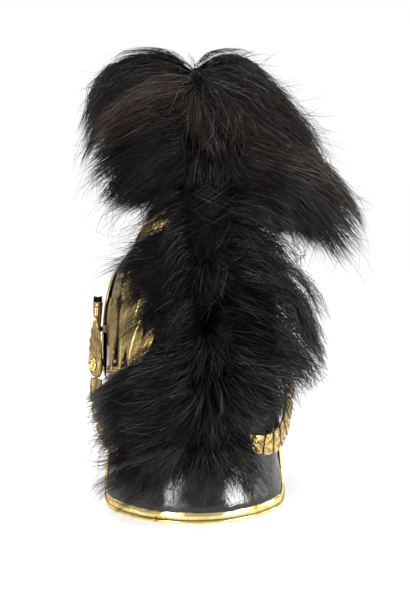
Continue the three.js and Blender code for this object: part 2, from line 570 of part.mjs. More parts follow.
// ---------------------------------------------------------------- ornaments on the skull
// a leaf laid on the skull: from foot to tip, columns angle, height; width in mm
function leaf(side, foot, tip, width, lift = 0, bend = 0, steps = 5) {
  const rings = [];
  for (let i = 0; i <= steps; i++) {
    const t = i / steps;
    const w = width * (0.10 + 0.9 * Math.pow(Math.sin(Math.PI * Math.pow(t, 0.8) * 0.94 + 0.1), 0.8)) * (t > 0.99 ? 0.25 : 1);
    const a = lerp(foot[0], tip[0], t) + bend * Math.sin(Math.PI * t), h = lerp(foot[1], tip[1], t);
    const P = onSkull(a, h), N = skullNormal(a, h);
    const T = norm(sub(onSkull(lerp(foot[0], tip[0], t + 0.02) + bend * Math.sin(Math.PI * (t + 0.02)), lerp(foot[1], tip[1], t + 0.02)), onSkull(lerp(foot[0], tip[0], t - 0.02) + bend * Math.sin(Math.PI * (t - 0.02)), lerp(foot[1], tip[1], t - 0.02))));
    const B = norm(cross(N, T));
    const low = GAP + 0.2, hump = low + 1.2 + lift + 1.6 * Math.sin(Math.PI * clamp(t, 0.05, 0.95));
    const at = (b, n) => { const q = add(add(P, B, b), N, n); return [side * q[0], q[1], q[2]]; };
    // drop of the skull's surface to either side of the leaf's middle
    const sag = (b) => (b * b) / (2 * 82);
    rings.push([
      at(-w / 2, low - sag(w / 2) + 0.2), at(-w / 2, low + 1.1 - sag(w / 2) + lift), at(-w / 4, hump * 0.86), at(0, hump),
      at(w / 4, hump * 0.86), at(w / 2, low + 1.1 - sag(w / 2) + lift), at(w / 2, low - sag(w / 2) + 0.2), at(0, low + 0.2),
    ]);
  }
  return loft(rings);
}
// columns: foot angle, foot height, tip angle, tip height, width, lift, bend
const SPRAY = [
  [73.5, 60, 79, 110, 15, 0.0, 0],
  [65, 40, 67, 114, 19, 0.6, 0],
  [68, 104, 65, 137, 15, 0.0, 0],
  [55, 40, 49, 114, 20, 0.2, 0],
  [48, 39, 39, 88, 17, 0.7, 0],
  [44, 38, 28, 78, 13, 0.1, 1],
];
function band(side, a0, a1, h, tall, thick, steps) {
  const rings = [];
  for (let i = 0; i <= steps; i++) {
    const a = lerp(a0, a1, i / steps);
    const P = (hh, o) => { const q = add(onSkull(a, hh), skullNormal(a, hh), o); return [side * q[0], q[1], q[2]]; };
    const o = GAP + 0.2;
    rings.push([P(h, o), P(h, o + thick * 0.7), P(h + tall * 0.5, o + thick), P(h + tall, o + thick * 0.7), P(h + tall, o)]);
  }
  return loft(rings);
}
function spray(side) {
  return union(...SPRAY.map(([a0, h0, a1, h1, w, l, b]) => leaf(side, [a0, h0], [a1, h1], w, l, b)), band(side, 38, 75, 34, 8, 2.6, 10));
}

// ---------------------------------------------------------------- bosses, socket
// the boss faces to the side and a little backwards
const BOSS = { at: [97, 11, 137], turn: 25, r: 15 };
const bossFrame = (side) => {
  const c = Math.cos(rad(BOSS.turn)), t = Math.sin(rad(BOSS.turn));
  return { P: flipX(BOSS.at, side), N: [side * c, t, 0], U: [0, 0, 1], V: [-side * t, c, 0] };
};
function lathe(profile, frame, seg = 20) {
  // profile: radius, height along the frame's N; first and last rows are on the axis
  const ringsPts = [], tris = [];
  const { P, N, U, V } = frame;
  const at = (r, n, a) => add(add(add(P, N, n), U, r * Math.cos(a)), V, r * Math.sin(a));
  const mid = profile.slice(1, -1);
  for (const [r, n] of mid) for (let k = 0; k < seg; k++) ringsPts.push(at(r, n, (k / seg) * 2 * Math.PI));
  const b = ringsPts.push(at(0, profile[0][1], 0)) - 1, t = ringsPts.push(at(0, profile[profile.length - 1][1], 0)) - 1;
  for (let i = 0; i < mid.length - 1; i++) for (let k = 0; k < seg; k++) {
    const p = i * seg + k, q = i * seg + ((k + 1) % seg);
    tris.push([p, q, q + seg], [p, q + seg, p + seg]);
  }
  for (let k = 0; k < seg; k++) {
    tris.push([b, (k + 1) % seg, k]);
    const o = (mid.length - 1) * seg;
    tris.push([t, o + k, o + ((k + 1) % seg)]);
  }
  return geometry(ringsPts, tris);
}
// outline of the flame-shaped plate above the boss: columns height, half width, stand-off of its middle
const FLAME = [[-4, 12, 1.6], [8, 13.4, 1.8], [18, 13.4, 1.8], [27, 11.4, 1.6], [35, 8, 1.3], [42, 4.4, 1.0], [48.5, 0.8, 0.6]];
function bossPlate(side) {
  const f = bossFrame(side);
  const disc = lathe([[0, 0], [BOSS.r - 1, 0], [BOSS.r, 1], [BOSS.r, 2.4], [BOSS.r - 2.5, 3.8], [9, 3.4], [0, 3.4]], f, 24);
  const post = lathe([[0, -7], [4, -7], [4, 0.6], [0, 0.6]], f, 12);
  const rings = FLAME.map(([h, w, n]) => {
    const at = (b, o) => add(add(add(f.P, f.U, h), f.V, b), f.N, o);
    return [at(-w, n - 1.2), at(-w, n), at(-w * 0.5, n + 1.3), at(0, n + 1.9), at(w * 0.5, n + 1.3), at(w, n), at(w, n - 1.2), at(0, n - 0.4)];
  });
  return union(disc, loft(rings), post);
}
function rosette(side) {
  return lathe([[0, 3.8], [6.6, 3.8], [7.0, 4.6], [6.0, 5.8], [4.8, 6.0], [4.2, 7.4], [2.5, 8.8], [0, 9.3]], bossFrame(side), 16);
}
// socket: a tapering tube in front of the boss plate's tip; columns height, outer radius
const SOCKET = [[0, 2.3], [8, 2.9], [18, 3.7], [28, 4.4], [34, 4.8], [36.5, 5.3]];
const SOCKET_FOOT = [96.6, -11, 158], SOCKET_TOP = [95.6, -16, 195];
function socketFrame() {
  const N = norm(sub(SOCKET_TOP, SOCKET_FOOT)), U = [1, 0, 0];
  const V = norm(cross(N, U)), U2 = cross(V, N);
  return { P: SOCKET_FOOT, N, U: U2, V };
}
function plumeSocket() {
  const f = socketFrame();
  const prof = [[0, 0], ...SOCKET.map(([h, r]) => [r, h]), [4.3, 36.5], [3.6, 29], [2.6, 22], [0, 20]];
  // a short arm holds the tube to the skull
  const box = (x, n) => [[x, -14, 164.5], [x, -9.5, 164.5], [x, -9.5, 171], [x, -14, 171]];
  return union(lathe(prof, f, 14), loft([box(87.2), box(96)]));
}
function plumeStub() {
  const f = socketFrame();
  return lathe([[0, 23], [2.0, 23], [3.1, 30], [3.7, 36], [4.6, 39], [4.2, 42.4], [2.4, 43.6], [0, 43.2]], f, 12);
}

// ---------------------------------------------------------------- chin straps and scales
// the strap's middle line: columns share of its length, x, y, z (wearer's left, mirrored for the right)
const ROUTE = [
  // share, x, y, z, turn of the strap's face from the side towards the back
  [0.000, 97.5, 12, 121, 25], [0.096, 98.2, 14, 103, 25], [0.189, 95.8, 21, 87, 25], [0.294, 91, 36, 75, 27], [0.408, 83, 55, 69, 34],
  [0.537, 71, 76, 68, 46], [0.669, 54.5, 94, 73, 59], [0.810, 34, 107, 84, 72], [0.941, 14, 113.5, 97, 83], [1.000, 4.5, 115, 102.5, 88],
];
function strapFrame(t) {
  const r = row(ROUTE, t), P = r.slice(1, 4), e = 0.01;
  const T = norm(sub(row(ROUTE, Math.min(1, t + e)).slice(1, 4), row(ROUTE, Math.max(0, t - e)).slice(1, 4)));
  const O = [Math.cos(rad(r[4])), Math.sin(rad(r[4])), 0];
  const B = norm(cross(T, O));              // across the strap
  const N = norm(cross(B, T));
  return { P, T, B: B[2] < 0 ? B.map((v) => -v) : B, N: dot(N, O) < 0 ? N.map((v) => -v) : N };
}
const widthAt = (t) => lerp(SCALE_W0, SCALE_W1, smooth(0.3, 1, t));
function chinStrap(side) {
  const rings = [], n = 26;
  for (let i = 0; i <= n; i++) {
    const t = i / n, { P, B, N } = strapFrame(t), w = widthAt(t) * 0.36;
    const at = (b, o) => flipX(add(add(P, B, b), N, o), side);
    rings.push([at(-w, -STRAP_T), at(-w, 0), at(w, 0), at(w, -STRAP_T)]);
  }
  return loft(rings);
}
function chinScale(side, k) {
  const t0 = 0.035 + (k / SCALES) * 0.955, t1 = 0.035 + ((k + 1) / SCALES) * 0.955 - 0.0045;
  const rings = [], n = 4;
  for (let i = 0; i <= n; i++) {
    const s = i / n, { P, B, N } = strapFrame(lerp(t0, t1, s));
    const w = widthAt((t0 + t1) / 2) / 2 * (1 - 0.16 * Math.pow(s, 3)) * (i === 0 ? 0.94 : 1);
    const lift = GAP + 0.9 * s;
    const at = (b, o) => flipX(add(add(P, B, b), N, o), side);
    rings.push([
      at(-w, lift - 0.3), at(-w, lift + SCALE_T - 0.4), at(-w * 0.5, lift + SCALE_T + 0.7), at(0, lift + SCALE_T + 1.2),
      at(w * 0.5, lift + SCALE_T + 0.7), at(w, lift + SCALE_T - 0.4), at(w, lift - 0.3), at(w * 0.45, lift + 0.05), at(-w * 0.45, lift + 0.05),
    ]);
  }
  return loft(rings);
}
function backHook() {
  // a round stud behind the skull's rim, with the hook's lip upwards
  const P = [0, 105.6, 103.5];
  const f = { P, N: norm([0, 1, 0.05]), U: [1, 0, 0], V: norm([0, -0.05, 1]) };
  return lathe([[0, 0], [6, 0], [6, 1.6], [2.2, 2.2], [2.2, 13.5], [0, 13.5]], f, 14);
}

// ---------------------------------------------------------------- assembly
const group = new THREE.Group();
const paint = {
  leather: { color: 0x15161a, roughness: 0.28, metalness: 0 },
  gilt: { color: 0xb98f45, roughness: 0.38, metalness: 1 },
  brass: { color: 0xd1a33c, roughness: 0.2, metalness: 1 },
  fur: { color: 0x1a1514, roughness: 0.8, metalness: 0 },
  strap: { color: 0x1d1714, roughness: 0.6, metalness: 0 },
};
function put(name, g, look) {
  const mesh = new THREE.Mesh(g, new THREE.MeshStandardMaterial(paint[look]));
  mesh.name = name;
  group.add(mesh);
  return mesh;
}
put('skull', skull(), 'leather');
put('neck_guard', neckGuard(), 'leather');
put('neck_guard_binding', guardBinding(), 'brass');
put('front_peak', frontPeak(), 'leather');
put('front_peak_binding', peakBinding(), 'brass');
put('front_plate', frontPlate(), 'gilt');
put('comb', combSolid(), 'gilt');
put('crest_mop', minus(furSolid('mop', 30, 6, 40), combSolid(1.2)), 'fur');
// the helmet's own body, grown, that the fur down the back lies over
const clearOfSkull = domeSolid(2.5, 36, 9, 20);
function clearOfGuard() {
  const rings = [];
  for (const [z, k] of [[-6, 1.22], [50, 1.17], [104, 1.15], [120, 1.13], [134, 1.04]]) {
    rings.push([...Array(32).keys()].map((i) => {
      const a = (i / 32) * 2 * Math.PI;
      return [92 * k * Math.sin(a), 8 + 101 * k * Math.cos(a), z];
    }));
  }
  return loft(rings);
}
const largest = (g) => fromManifold(toManifold(g).decompose().sort((a, b) => b.volume() - a.volume())[0]);
const moved = (g, x, y, z) => g.clone().translate(x, y, z);
const mop = furSolid('mop', 30, 6, 40);
const mane = minus(furSolid('mane', 28, 5, 70), combSolid(1.2), clearOfSkull, clearOfGuard(), mop, moved(mop, 0, 0.8, -0.5), moved(mop, 0, -0.2, -0.9));
put('crest_mane', mane, 'fur');
put('nape_tuft', largest(minus(furSolid('tuft', 16, 4, 14), clearOfGuard(), mane, moved(mane, 0, 0.7, -0.7))), 'fur');
for (const [side, word] of [[1, 'left'], [-1, 'right']]) {
  put(`leaf_spray_${word}`, spray(side), 'gilt');
  put(`boss_plate_${word}`, bossPlate(side), 'gilt');
  put(`rosette_${word}`, rosette(side), 'brass');
  put(`chin_strap_${word}`, chinStrap(side), 'strap');
  for (let k = 0; k < SCALES; k++) put(`scale_${word}_${String(k + 1).padStart(2, '0')}`, chinScale(side, k), 'brass');
}
put('plume_socket', plumeSocket(), 'gilt');
put('plume_stub', plumeStub(), 'fur');
put('back_hook', backHook(), 'brass');

// the origin is the middle of the bottom of the whole object's box
const bounds = new THREE.Box3().setFromObject(group);
const centre = bounds.getCenter(new THREE.Vector3());
group.position.set(-centre.x, -centre.y, -bounds.min.z);
group.updateMatrixWorld(true);

export default group;
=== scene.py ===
import json
import math

import bpy
import numpy as np
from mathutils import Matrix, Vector

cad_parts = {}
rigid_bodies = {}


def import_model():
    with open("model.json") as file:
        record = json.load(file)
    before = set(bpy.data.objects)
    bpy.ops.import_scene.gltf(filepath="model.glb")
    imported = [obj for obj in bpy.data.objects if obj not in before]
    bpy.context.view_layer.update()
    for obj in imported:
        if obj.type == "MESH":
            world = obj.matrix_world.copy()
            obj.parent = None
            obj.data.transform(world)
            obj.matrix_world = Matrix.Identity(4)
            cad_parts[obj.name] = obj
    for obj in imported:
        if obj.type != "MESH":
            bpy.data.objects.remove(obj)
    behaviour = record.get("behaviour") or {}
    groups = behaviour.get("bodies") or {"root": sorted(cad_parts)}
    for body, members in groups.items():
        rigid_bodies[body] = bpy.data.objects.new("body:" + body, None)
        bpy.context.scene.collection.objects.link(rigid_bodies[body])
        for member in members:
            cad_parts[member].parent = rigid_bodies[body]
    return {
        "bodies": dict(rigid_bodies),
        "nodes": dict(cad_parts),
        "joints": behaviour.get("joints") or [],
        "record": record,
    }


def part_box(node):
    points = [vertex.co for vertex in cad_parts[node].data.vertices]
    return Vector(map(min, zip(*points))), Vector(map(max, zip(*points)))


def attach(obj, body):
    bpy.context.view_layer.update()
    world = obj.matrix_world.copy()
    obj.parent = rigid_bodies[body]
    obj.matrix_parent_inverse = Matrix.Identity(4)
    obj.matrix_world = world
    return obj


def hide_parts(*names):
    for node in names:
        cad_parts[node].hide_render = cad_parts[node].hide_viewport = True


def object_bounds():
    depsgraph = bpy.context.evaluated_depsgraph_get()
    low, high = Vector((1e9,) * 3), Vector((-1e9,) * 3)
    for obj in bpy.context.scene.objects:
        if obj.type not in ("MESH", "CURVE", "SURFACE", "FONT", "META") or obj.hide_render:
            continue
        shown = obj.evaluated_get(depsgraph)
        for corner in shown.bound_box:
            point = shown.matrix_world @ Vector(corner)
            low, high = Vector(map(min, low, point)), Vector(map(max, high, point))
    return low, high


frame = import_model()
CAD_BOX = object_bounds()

# ---------------------------------------------------------------- sizes of the CAD model, in millimetres
LEAN, BASE_Z = 10.0, 90.0
SKULL_A, SKULL_B, SKULL_H, SKULL_N = 88.0, 104.0, 181.0, 3.2
LEATHER, GAP, BRASS = 2.2, 0.4, 1.0
GUARD_A, GUARD_B, GUARD_Y, GUARD_END, GUARD_CORNER = 96.0, 98.0, 15.0, 78.0, 30.0
BIND_LOW, BIND_SIDE, EDGE_Z = 9.5, 4.5, 1.35
PEAK_END, PEAK_REACH, PEAK_T, PEAK_BIND, PEAK_EDGE_Z, PEAK_LIFT = 66.0, 50.0, 2.2, 6.0, 3.19, 26.0
PLATE_END, PLATE_OFF, PLATE_T = 82.0, 4.5, 1.4
COMB_T = 15.0
STRAP_T, SCALES, SCALE_W0, SCALE_W1, SCALE_T = 2.0, 10, 26.0, 12.0, 1.2

# the CAD group's move, from two of its boxes
_lo, _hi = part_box("neck_guard_binding")
SHIFT = np.array([(_lo.x + _hi.x) * 500.0, _hi.y * 1000.0 - (GUARD_Y + GUARD_B + GAP + BRASS), 0.0])

CT, ST = math.cos(math.radians(LEAN)), math.sin(math.radians(LEAN))
rng = np.random.default_rng(1812)


# ---------------------------------------------------------------- small helpers
def rad(d):
    return np.radians(d)


def lerp(a, b, t):
    return a + (b - a) * t


def smooth(a, b, x):
    t = np.clip((np.asarray(x, float) - a) / (b - a), 0, 1)
    return t * t * (3 - 2 * t)


def unit(v):
    v = np.asarray(v, float)
    return v / np.maximum(np.linalg.norm(v, axis=-1, keepdims=True), 1e-9)


def lookup(table, key):
    """Rows of a table, first column the key, the rest interpolated smoothly."""
    t = np.asarray(table, float)
    k = t[:, 0]
    key = np.clip(np.asarray(key, float), k[0], k[-1])
    i = np.clip(np.searchsorted(k, key, side="right") - 1, 0, len(k) - 2)
    slope = np.empty_like(t)
    slope[0] = (t[1] - t[0]) / (k[1] - k[0])
    slope[-1] = (t[-1] - t[-2]) / (k[-1] - k[-2])
    slope[1:-1] = (t[2:] - t[:-2]) / (k[2:] - k[:-2])[:, None]
    h = (k[i + 1] - k[i])[..., None]
    s = (key[..., None] - k[i][..., None]) / h
    s2, s3 = s * s, s * s * s
    out = (2 * s3 - 3 * s2 + 1) * t[i] + (s3 - 2 * s2 + s) * h * slope[i] + (3 * s2 - 2 * s3) * t[i + 1] + (s3 - s2) * h * slope[i + 1]
    return out[..., 1:]


def wobble(p, scale, seed):
    """Smooth noise in -1..1 at points p, features about scale mm wide."""
    r = np.random.default_rng(seed)
    out = np.zeros(p.shape[:-1])
    for k in range(7):
        d = unit(r.normal(size=3)) * (2 * math.pi / scale) * r.uniform(0.6, 1.5)
        out += np.sin(p @ d + r.uniform(0, 6.28))
    return out / 4.2


# ---------------------------------------------------------------- meshes from arrays
def mesh_piece(name, verts, quads=None, tris=None, mat=None, attrs=None, angle=None, uv=None, mat_index=None, mats=None):
    """One mesh object from arrays; verts in the CAD source's millimetres."""
    v = (np.asarray(verts, float).reshape(-1, 3) + SHIFT) / 1000.0
    loops, starts, n = [], [], 0
    if quads is not None and len(quads):
        q = np.asarray(quads, np.int32).reshape(-1, 4)
        loops.append(q.ravel())
        starts.append(n + 4 * np.arange(len(q)))
        n += q.size
    if tris is not None and len(tris):
        t = np.asarray(tris, np.int32).reshape(-1, 3)
        loops.append(t.ravel())
        starts.append(n + 3 * np.arange(len(t)))
        n += t.size
    loops, starts = np.concatenate(loops), np.concatenate(starts)
    me = bpy.data.meshes.new(name)
    me.vertices.add(len(v))
    me.vertices.foreach_set("co", v.astype(np.float32).ravel())
    me.loops.add(len(loops))
    me.loops.foreach_set("vertex_index", loops.astype(np.int32))
    me.polygons.add(len(starts))
    me.polygons.foreach_set("loop_start", starts.astype(np.int32))
    me.polygons.foreach_set("use_smooth", np.ones(len(starts), bool))
    me.update(calc_edges=True)
    for key, val in (attrs or {}).items():
        a = me.attributes.new(key, "FLOAT", "POINT")
        a.data.foreach_set("value", np.asarray(val, np.float32).ravel())
    if uv is not None:
        layer = me.uv_layers.new(name="flow")
        layer.data.foreach_set("uv", np.asarray(uv, np.float32)[loops].ravel())
    if angle is not None:
        me.set_sharp_from_angle(angle=math.radians(angle))
    ob = bpy.data.objects.new(name, me)
    bpy.context.scene.collection.objects.link(ob)
    if mat is not None:
        me.materials.append(mat)
    return ob


class Build:
    """Collects grids and sheets into one mesh."""

    def __init__(self):
        self.v, self.q, self.t, self.c, self.n = [], [], [], [], 0

    def points(self, p, cav=0.0):
        p = np.asarray(p, float)
        flat = p.reshape(-1, 3)
        at = self.n
        self.v.append(flat)
        self.c.append(np.broadcast_to(np.asarray(cav, float), p.shape[:-1]).reshape(-1))
        self.n += len(flat)
        return at

    def grid(self, p, cav=0.0, close_u=False, close_v=False, flip=False):
        """A grid of points rows by columns; returns the index array."""
        m, n = p.shape[:2]
        at = self.points(p, cav)
        ix = at + np.arange(m * n).reshape(m, n)
        r = np.concatenate([ix, ix[:1]]) if close_u else ix
        r = np.concatenate([r, r[:, :1]], 1) if close_v else r
        q = np.stack([r[:-1, :-1], r[:-1, 1:], r[1:, 1:], r[1:, :-1]], -1).reshape(-1, 4)
        self.q.append(q[:, ::-1] if flip else q)
        return ix

    def strip(self, a, b, close=False, flip=False):
        """Quads between two equal rows of indices."""
        a, b = np.asarray(a), np.asarray(b)
        if close:
            a, b = np.append(a, a[0]), np.append(b, b[0])
        q = np.stack([a[:-1], a[1:], b[1:], b[:-1]], -1)
        self.q.append(q[:, ::-1] if flip else q)

    def fan(self, ring, centre, flip=False):
        ring = np.asarray(ring)
        nxt = np.roll(ring, -1)
        t = np.stack([ring, nxt, np.full_like(ring, centre)], -1)
        self.t.append(t[:, ::-1] if flip else t)

    def outward(self, q0, t0):
        """Turns the faces added since then outwards."""
        v, vol = np.concatenate(self.v), 0.0
        for q in self.q[q0:]:
            for f in (q[:, [0, 1, 2]], q[:, [0, 2, 3]]):
                vol += np.einsum("ij,ij->i", v[f[:, 0]], np.cross(v[f[:, 1]], v[f[:, 2]])).sum()
        for f in self.t[t0:]:
            vol += np.einsum("ij,ij->i", v[f[:, 0]], np.cross(v[f[:, 1]], v[f[:, 2]])).sum()
        if vol < 0:
            self.q[q0:] = [q[:, ::-1] for q in self.q[q0:]]
            self.t[t0:] = [t[:, ::-1] for t in self.t[t0:]]

    def sheet(self, outer, inner, cav_o=0.0, cav_i=0.0):
        """A sheet of thickness from two grids, sewn round its edge."""
        q0, t0 = len(self.q), len(self.t)
        o = self.grid(outer, cav_o)
        i = self.grid(inner, cav_i, flip=True)
        self.strip(o[0], i[0], flip=True)
        self.strip(o[-1], i[-1])
        self.strip(o[:, 0], i[:, 0])
        self.strip(o[:, -1], i[:, -1], flip=True)
        self.outward(q0, t0)

    def tube(self, rings, cav=0.0, close_v=True, caps=True):
        """A closed tube of rings, with fan caps."""
        q0, t0 = len(self.q), len(self.t)
        ix = self.grid(rings, cav, close_v=close_v)
        if caps:
            for row, flip in ((ix[0], True), (ix[-1], False)):
                c = self.points(np.concatenate(self.v)[row].mean(0)[None], 0.0)
                self.fan(row, c, flip=flip)
        self.outward(q0, t0)
        return ix

    def arrays(self):
        v = np.concatenate(self.v)
        q = np.concatenate(self.q) if self.q else np.zeros((0, 4), int)
        t = np.concatenate(self.t) if self.t else np.zeros((0, 3), int)
        return v, q, t, np.concatenate(self.c)

    def piece(self, name, mat, nodes=(), angle=40, attr="cavity"):
        v, q, t, c = self.arrays()
        ob = mesh_piece(name, v, q, t, mat, {attr: c}, angle)
        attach(ob, "root")
        if nodes:
            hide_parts(*nodes)
        return ob


# ---------------------------------------------------------------- the helmet's surfaces, as in the CAD source
def stand(x, yp, h):
    x, yp, h = np.broadcast_arrays(np.asarray(x, float), yp, h)
    return np.stack([x, yp * CT - h * ST, BASE_Z + yp * ST + h * CT], -1)


def skull_r(h, off=0.0):
    q = np.clip(np.asarray(h, float) / (SKULL_H + off), 0, 1)
    return (1 - q ** SKULL_N) ** (1 / SKULL_N)


def on_skull(angle, h, off=0.0):
    """Plan angle from the back, 90 the wearer's left; height above the rim."""
    r = skull_r(h, off)
    return stand((SKULL_A + off) * r * np.sin(rad(angle)), (SKULL_B + off) * r * np.cos(rad(angle)), h)


def skull_normal(angle, h):
    e = 0.4
    ta = on_skull(np.asarray(angle) + e, h) - on_skull(np.asarray(angle) - e, h)
    th = on_skull(angle, np.asarray(h) + e) - on_skull(angle, np.asarray(h) - e)
    n = unit(np.cross(ta, th))
    out = on_skull(angle, h, 2) - on_skull(angle, h)
    s = np.sign(np.einsum("...i,...i->...", n, out))
    return n * s[..., None]


def guard_point(angle, z, off=0.0):
    angle, z = np.asarray(angle, float), np.asarray(z, float)
    s, c = np.sin(rad(angle)), np.cos(rad(angle))
    a2 = angle * 0.92
    top = stand((SKULL_A + off) * np.sin(rad(a2)), (SKULL_B + off) * np.cos(rad(a2)), -GAP)
    v = np.clip(1 - z / top[..., 2], 0, 1.05)
    f = 0.42 * v + 0.58 * v ** 3.4
    return np.stack([lerp(top[..., 0], (GUARD_A + off) * s, f), lerp(top[..., 1], GUARD_Y + (GUARD_B + off) * c, f), z + 0 * f], -1)


def guard_top(angle):
    return stand(SKULL_A * np.sin(rad(np.asarray(angle) * 0.92)), SKULL_B * np.cos(rad(np.asarray(angle) * 0.92)), -GAP)[..., 2]


_ang = np.arange(801) * 0.1
_pts = guard_point(_ang, 12.0)
_arc = np.concatenate([[0], np.cumsum(np.hypot(np.diff(_pts[:, 0]), np.diff(_pts[:, 1])))])
ARC_END = float(np.interp(GUARD_END, _ang, _arc))


def angle_at(arc):
    return np.sign(arc) * np.interp(np.abs(arc), _arc, _ang)


def edge_z(s):
    d = np.abs(s) - (ARC_END - GUARD_CORNER)
    x = np.clip(d / GUARD_CORNER, 0, 1)
    return EDGE_Z + GUARD_CORNER * (1 - np.sqrt(np.maximum(0, 1 - x * x)))


def peak_point(u, v):
    u, v = np.broadcast_arrays(np.asarray(u, float), np.asarray(v, float))
    a = 180 - u * PEAK_END
    root = stand(SKULL_A * np.sin(rad(a)), SKULL_B * np.cos(rad(a)), -GAP - 0.2)
    au = np.abs(u)
    reach = PEAK_REACH * (1 - 0.8 * au ** 2.4)
    flat = np.clip((au - 0.36) / 0.64, 0, 1)
    edge = np.stack([root[..., 0] * (1 + 0.12 * (1 - au)), root[..., 1] - reach, PEAK_EDGE_Z + PEAK_LIFT * flat * flat], -1)
    p = root + (edge - root) * v[..., None]
    p[..., 2] += 5 * np.sin(np.pi * v) * (1 - au ** 2)
    return p


def peak_normal(u, v):
    e = 0.01
    du = peak_point(np.minimum(1, u + e), v) - peak_point(np.maximum(-1, u - e), v)
    dv = peak_point(u, np.minimum(1, v + e)) - peak_point(u, np.maximum(0, v - e))
    n = unit(np.cross(du, dv))
    return n * np.where(n[..., 2:3] < 0, -1.0, 1.0)


# columns: plan angle from the front, height of the plate's upper edge, height of its lower edge
PLATE_EDGE = [
    [0, 218, 10], [12, 212, 9], [26, 197, 8], [36, 184, 8], [46, 172, 9], [56, 161, 12], [64, 153, 18], [73, 141, 28], [79, 128, 42], [82, 104, 64],
]


def plate_point(angle, h, off=0.0):
    a = np.abs(angle)
    hug = 1 - smooth(36, 66, a)
    close = skull_r(h) + PLATE_OFF / SKULL_A
    upright = 1 + PLATE_OFF / SKULL_A - 0.13 * np.clip(h / 190, 0, 1.3) ** 2
    r = np.maximum(close, lerp(close, upright, hug))
    aa = rad(180 - angle)
    return stand((SKULL_A * r + off) * np.sin(aa), (SKULL_B * r + off) * np.cos(aa), h)


# columns: profile angle, then the comb's upper edge y, z
COMB = [
    [62, -78, 312], [72, -56, 336], [84, -24, 349], [96, 14, 350], [108, 50, 337], [120, 80, 311],
    [132, 101, 277], [144, 113, 240], [154, 118, 204], [163, 119, 172], [170, 116, 146], [176, 112, 124],
]


def comb_foot(profile):
    t = rad(profile)
    c, s, k, off = -np.cos(t), np.sin(t), 2 / SKULL_N, 0.6
    return stand(0, np.sign(c) * (SKULL_B + off) * np.abs(c) ** k, (SKULL_H + off) * s ** k)


# columns: share of the strap's length, x, y, z of its middle line, turn of its face from the side towards the back
ROUTE = [
    [0.000, 97.5, 12, 121, 25], [0.096, 98.2, 14, 103, 25], [0.189, 95.8, 21, 87, 25], [0.294, 91, 36, 75, 27], [0.408, 83, 55, 69, 34],
    [0.537, 71, 76, 68, 46], [0.669, 54.5, 94, 73, 59], [0.810, 34, 107, 84, 72], [0.941, 14, 113.5, 97, 83], [1.000, 4.5, 115, 102.5, 88],
]


def strap_frame(t):
    t = np.asarray(t, float)
    r = lookup(ROUTE, t)
    P = r[..., :3]
    T = unit(lookup(ROUTE, np.minimum(1, t + 0.01))[..., :3] - lookup(ROUTE, np.maximum(0, t - 0.01))[..., :3])
    turn = rad(r[..., 3])
    O = np.stack([np.cos(turn), np.sin(turn), 0 * turn], -1)
    B = unit(np.cross(T, O))
    B = B * np.where(B[..., 2:3] < 0, -1.0, 1.0)
    N = unit(np.cross(B, T))
    N = N * np.where(np.einsum("...i,...i->...", N, O)[..., None] < 0, -1.0, 1.0)
    return P, T, B, N


def width_at(t):
    return lerp(SCALE_W0, SCALE_W1, smooth(0.3, 1, t))


# the outer forms of the fur, as in the CAD source
# columns: t along the root line, heading, d1, n1, g1, d2, n2, g2, d3, n3, g3
MOP_ROOT = [[0, 3, 48, 410], [0.3, 3, 5, 424], [0.6, 3, -45, 422], [1, 3, -118, 384]]
MOP = [
  # t  heading  d1  n1 g1   d2  n2 g2   d3  n3  g3
  [0.00, 0, 18, 16, 0, 74, 6, 8, 70, 0, 112],
  [0.00, 40, 20, 24, 0, 90, 14, 6, 82, 0, 94],
  [0.10, 78, 30, 32, 0, 122, 24, 4, 88, 0, 98],
  [0.32, 90, 36, 36, 0, 143, 29, 0, 94, 0, 98],
  [0.55, 92, 36, 36, 0, 144, 30, 0, 97, 0, 104],
  [0.80, 98, 34, 34, 0, 132, 27, 2, 94, 0, 112],
  [1.00, 128, 26, 30, 0, 104, 22, 6, 88, 0, 105],
  [1.00, 160, 20, 28, 0, 88, 16, 8, 82, 0, 115],
  [1.00, 200, 20, 28, 0, 90, 14, 10, 84, 0, 118],
  [1.00, 232, 32, 40, 0, 120, 0, 40, 100, 0, 130],
  [0.80, 262, 58, 60, 0, 186, 0, 90, 144, 0, 162],
  [0.55, 268, 66, 66, 0, 212, 0, 106, 160, 0, 180],
  [0.32, 270, 66, 64, 0, 214, 0, 108, 158, 0, 182],
  [0.10, 282, 48, 52, 0, 160, 0, 60, 120, 0, 130],
  [0.00, 318, 26, 30, 0, 104, 4, 20, 92, 0, 108],
]
MANE_ROOT = [[0, 0, 74, 336], [0.25, -2, 108, 300], [0.5, -5, 124, 246], [0.75, -7, 128, 190], [1, -8, 124, 142]]
MANE = [
  [0.00, 0, 10, 14, 0, 20, 26, 0, 24, 10, 0],
  [0.04, 60, 16, 20, 0, 44, 34, 2, 46, 8, 36],
  [0.22, 86, 18, 32, 0, 50, 42, 4, 44, 8, 56],
  [0.45, 92, 20, 44, 0, 48, 48, 4, 40, 8, 66],
  [0.66, 96, 22, 52, 0, 52, 54, 2, 44, 6, 56],
  [0.84, 102, 28, 54, 0, 84, 48, 0, 78, 4, 40],
  [0.97, 112, 30, 54, 0, 98, 44, 2, 92, 6, 18],
  [1.00, 145, 24, 54, 0, 76, 46, 2, 78, 10, 8],
  [1.00, 180, 20, 54, 0, 58, 50, 2, 60, 18, 4],
  [1.00, 215, 24, 54, 0, 72, 48, 2, 72, 14, 6],
  [0.90, 248, 30, 54, 0, 92, 48, 2, 82, 6, 24],
  [0.68, 264, 36, 52, 0, 124, 48, 2, 104, 4, 52],
  [0.45, 270, 34, 46, 0, 118, 44, 4, 104, 4, 78],
  [0.22, 276, 26, 34, 0, 92, 40, 4, 84, 6, 74],
  [0.04, 300, 16, 22, 0, 56, 34, 2, 62, 8, 44],
]
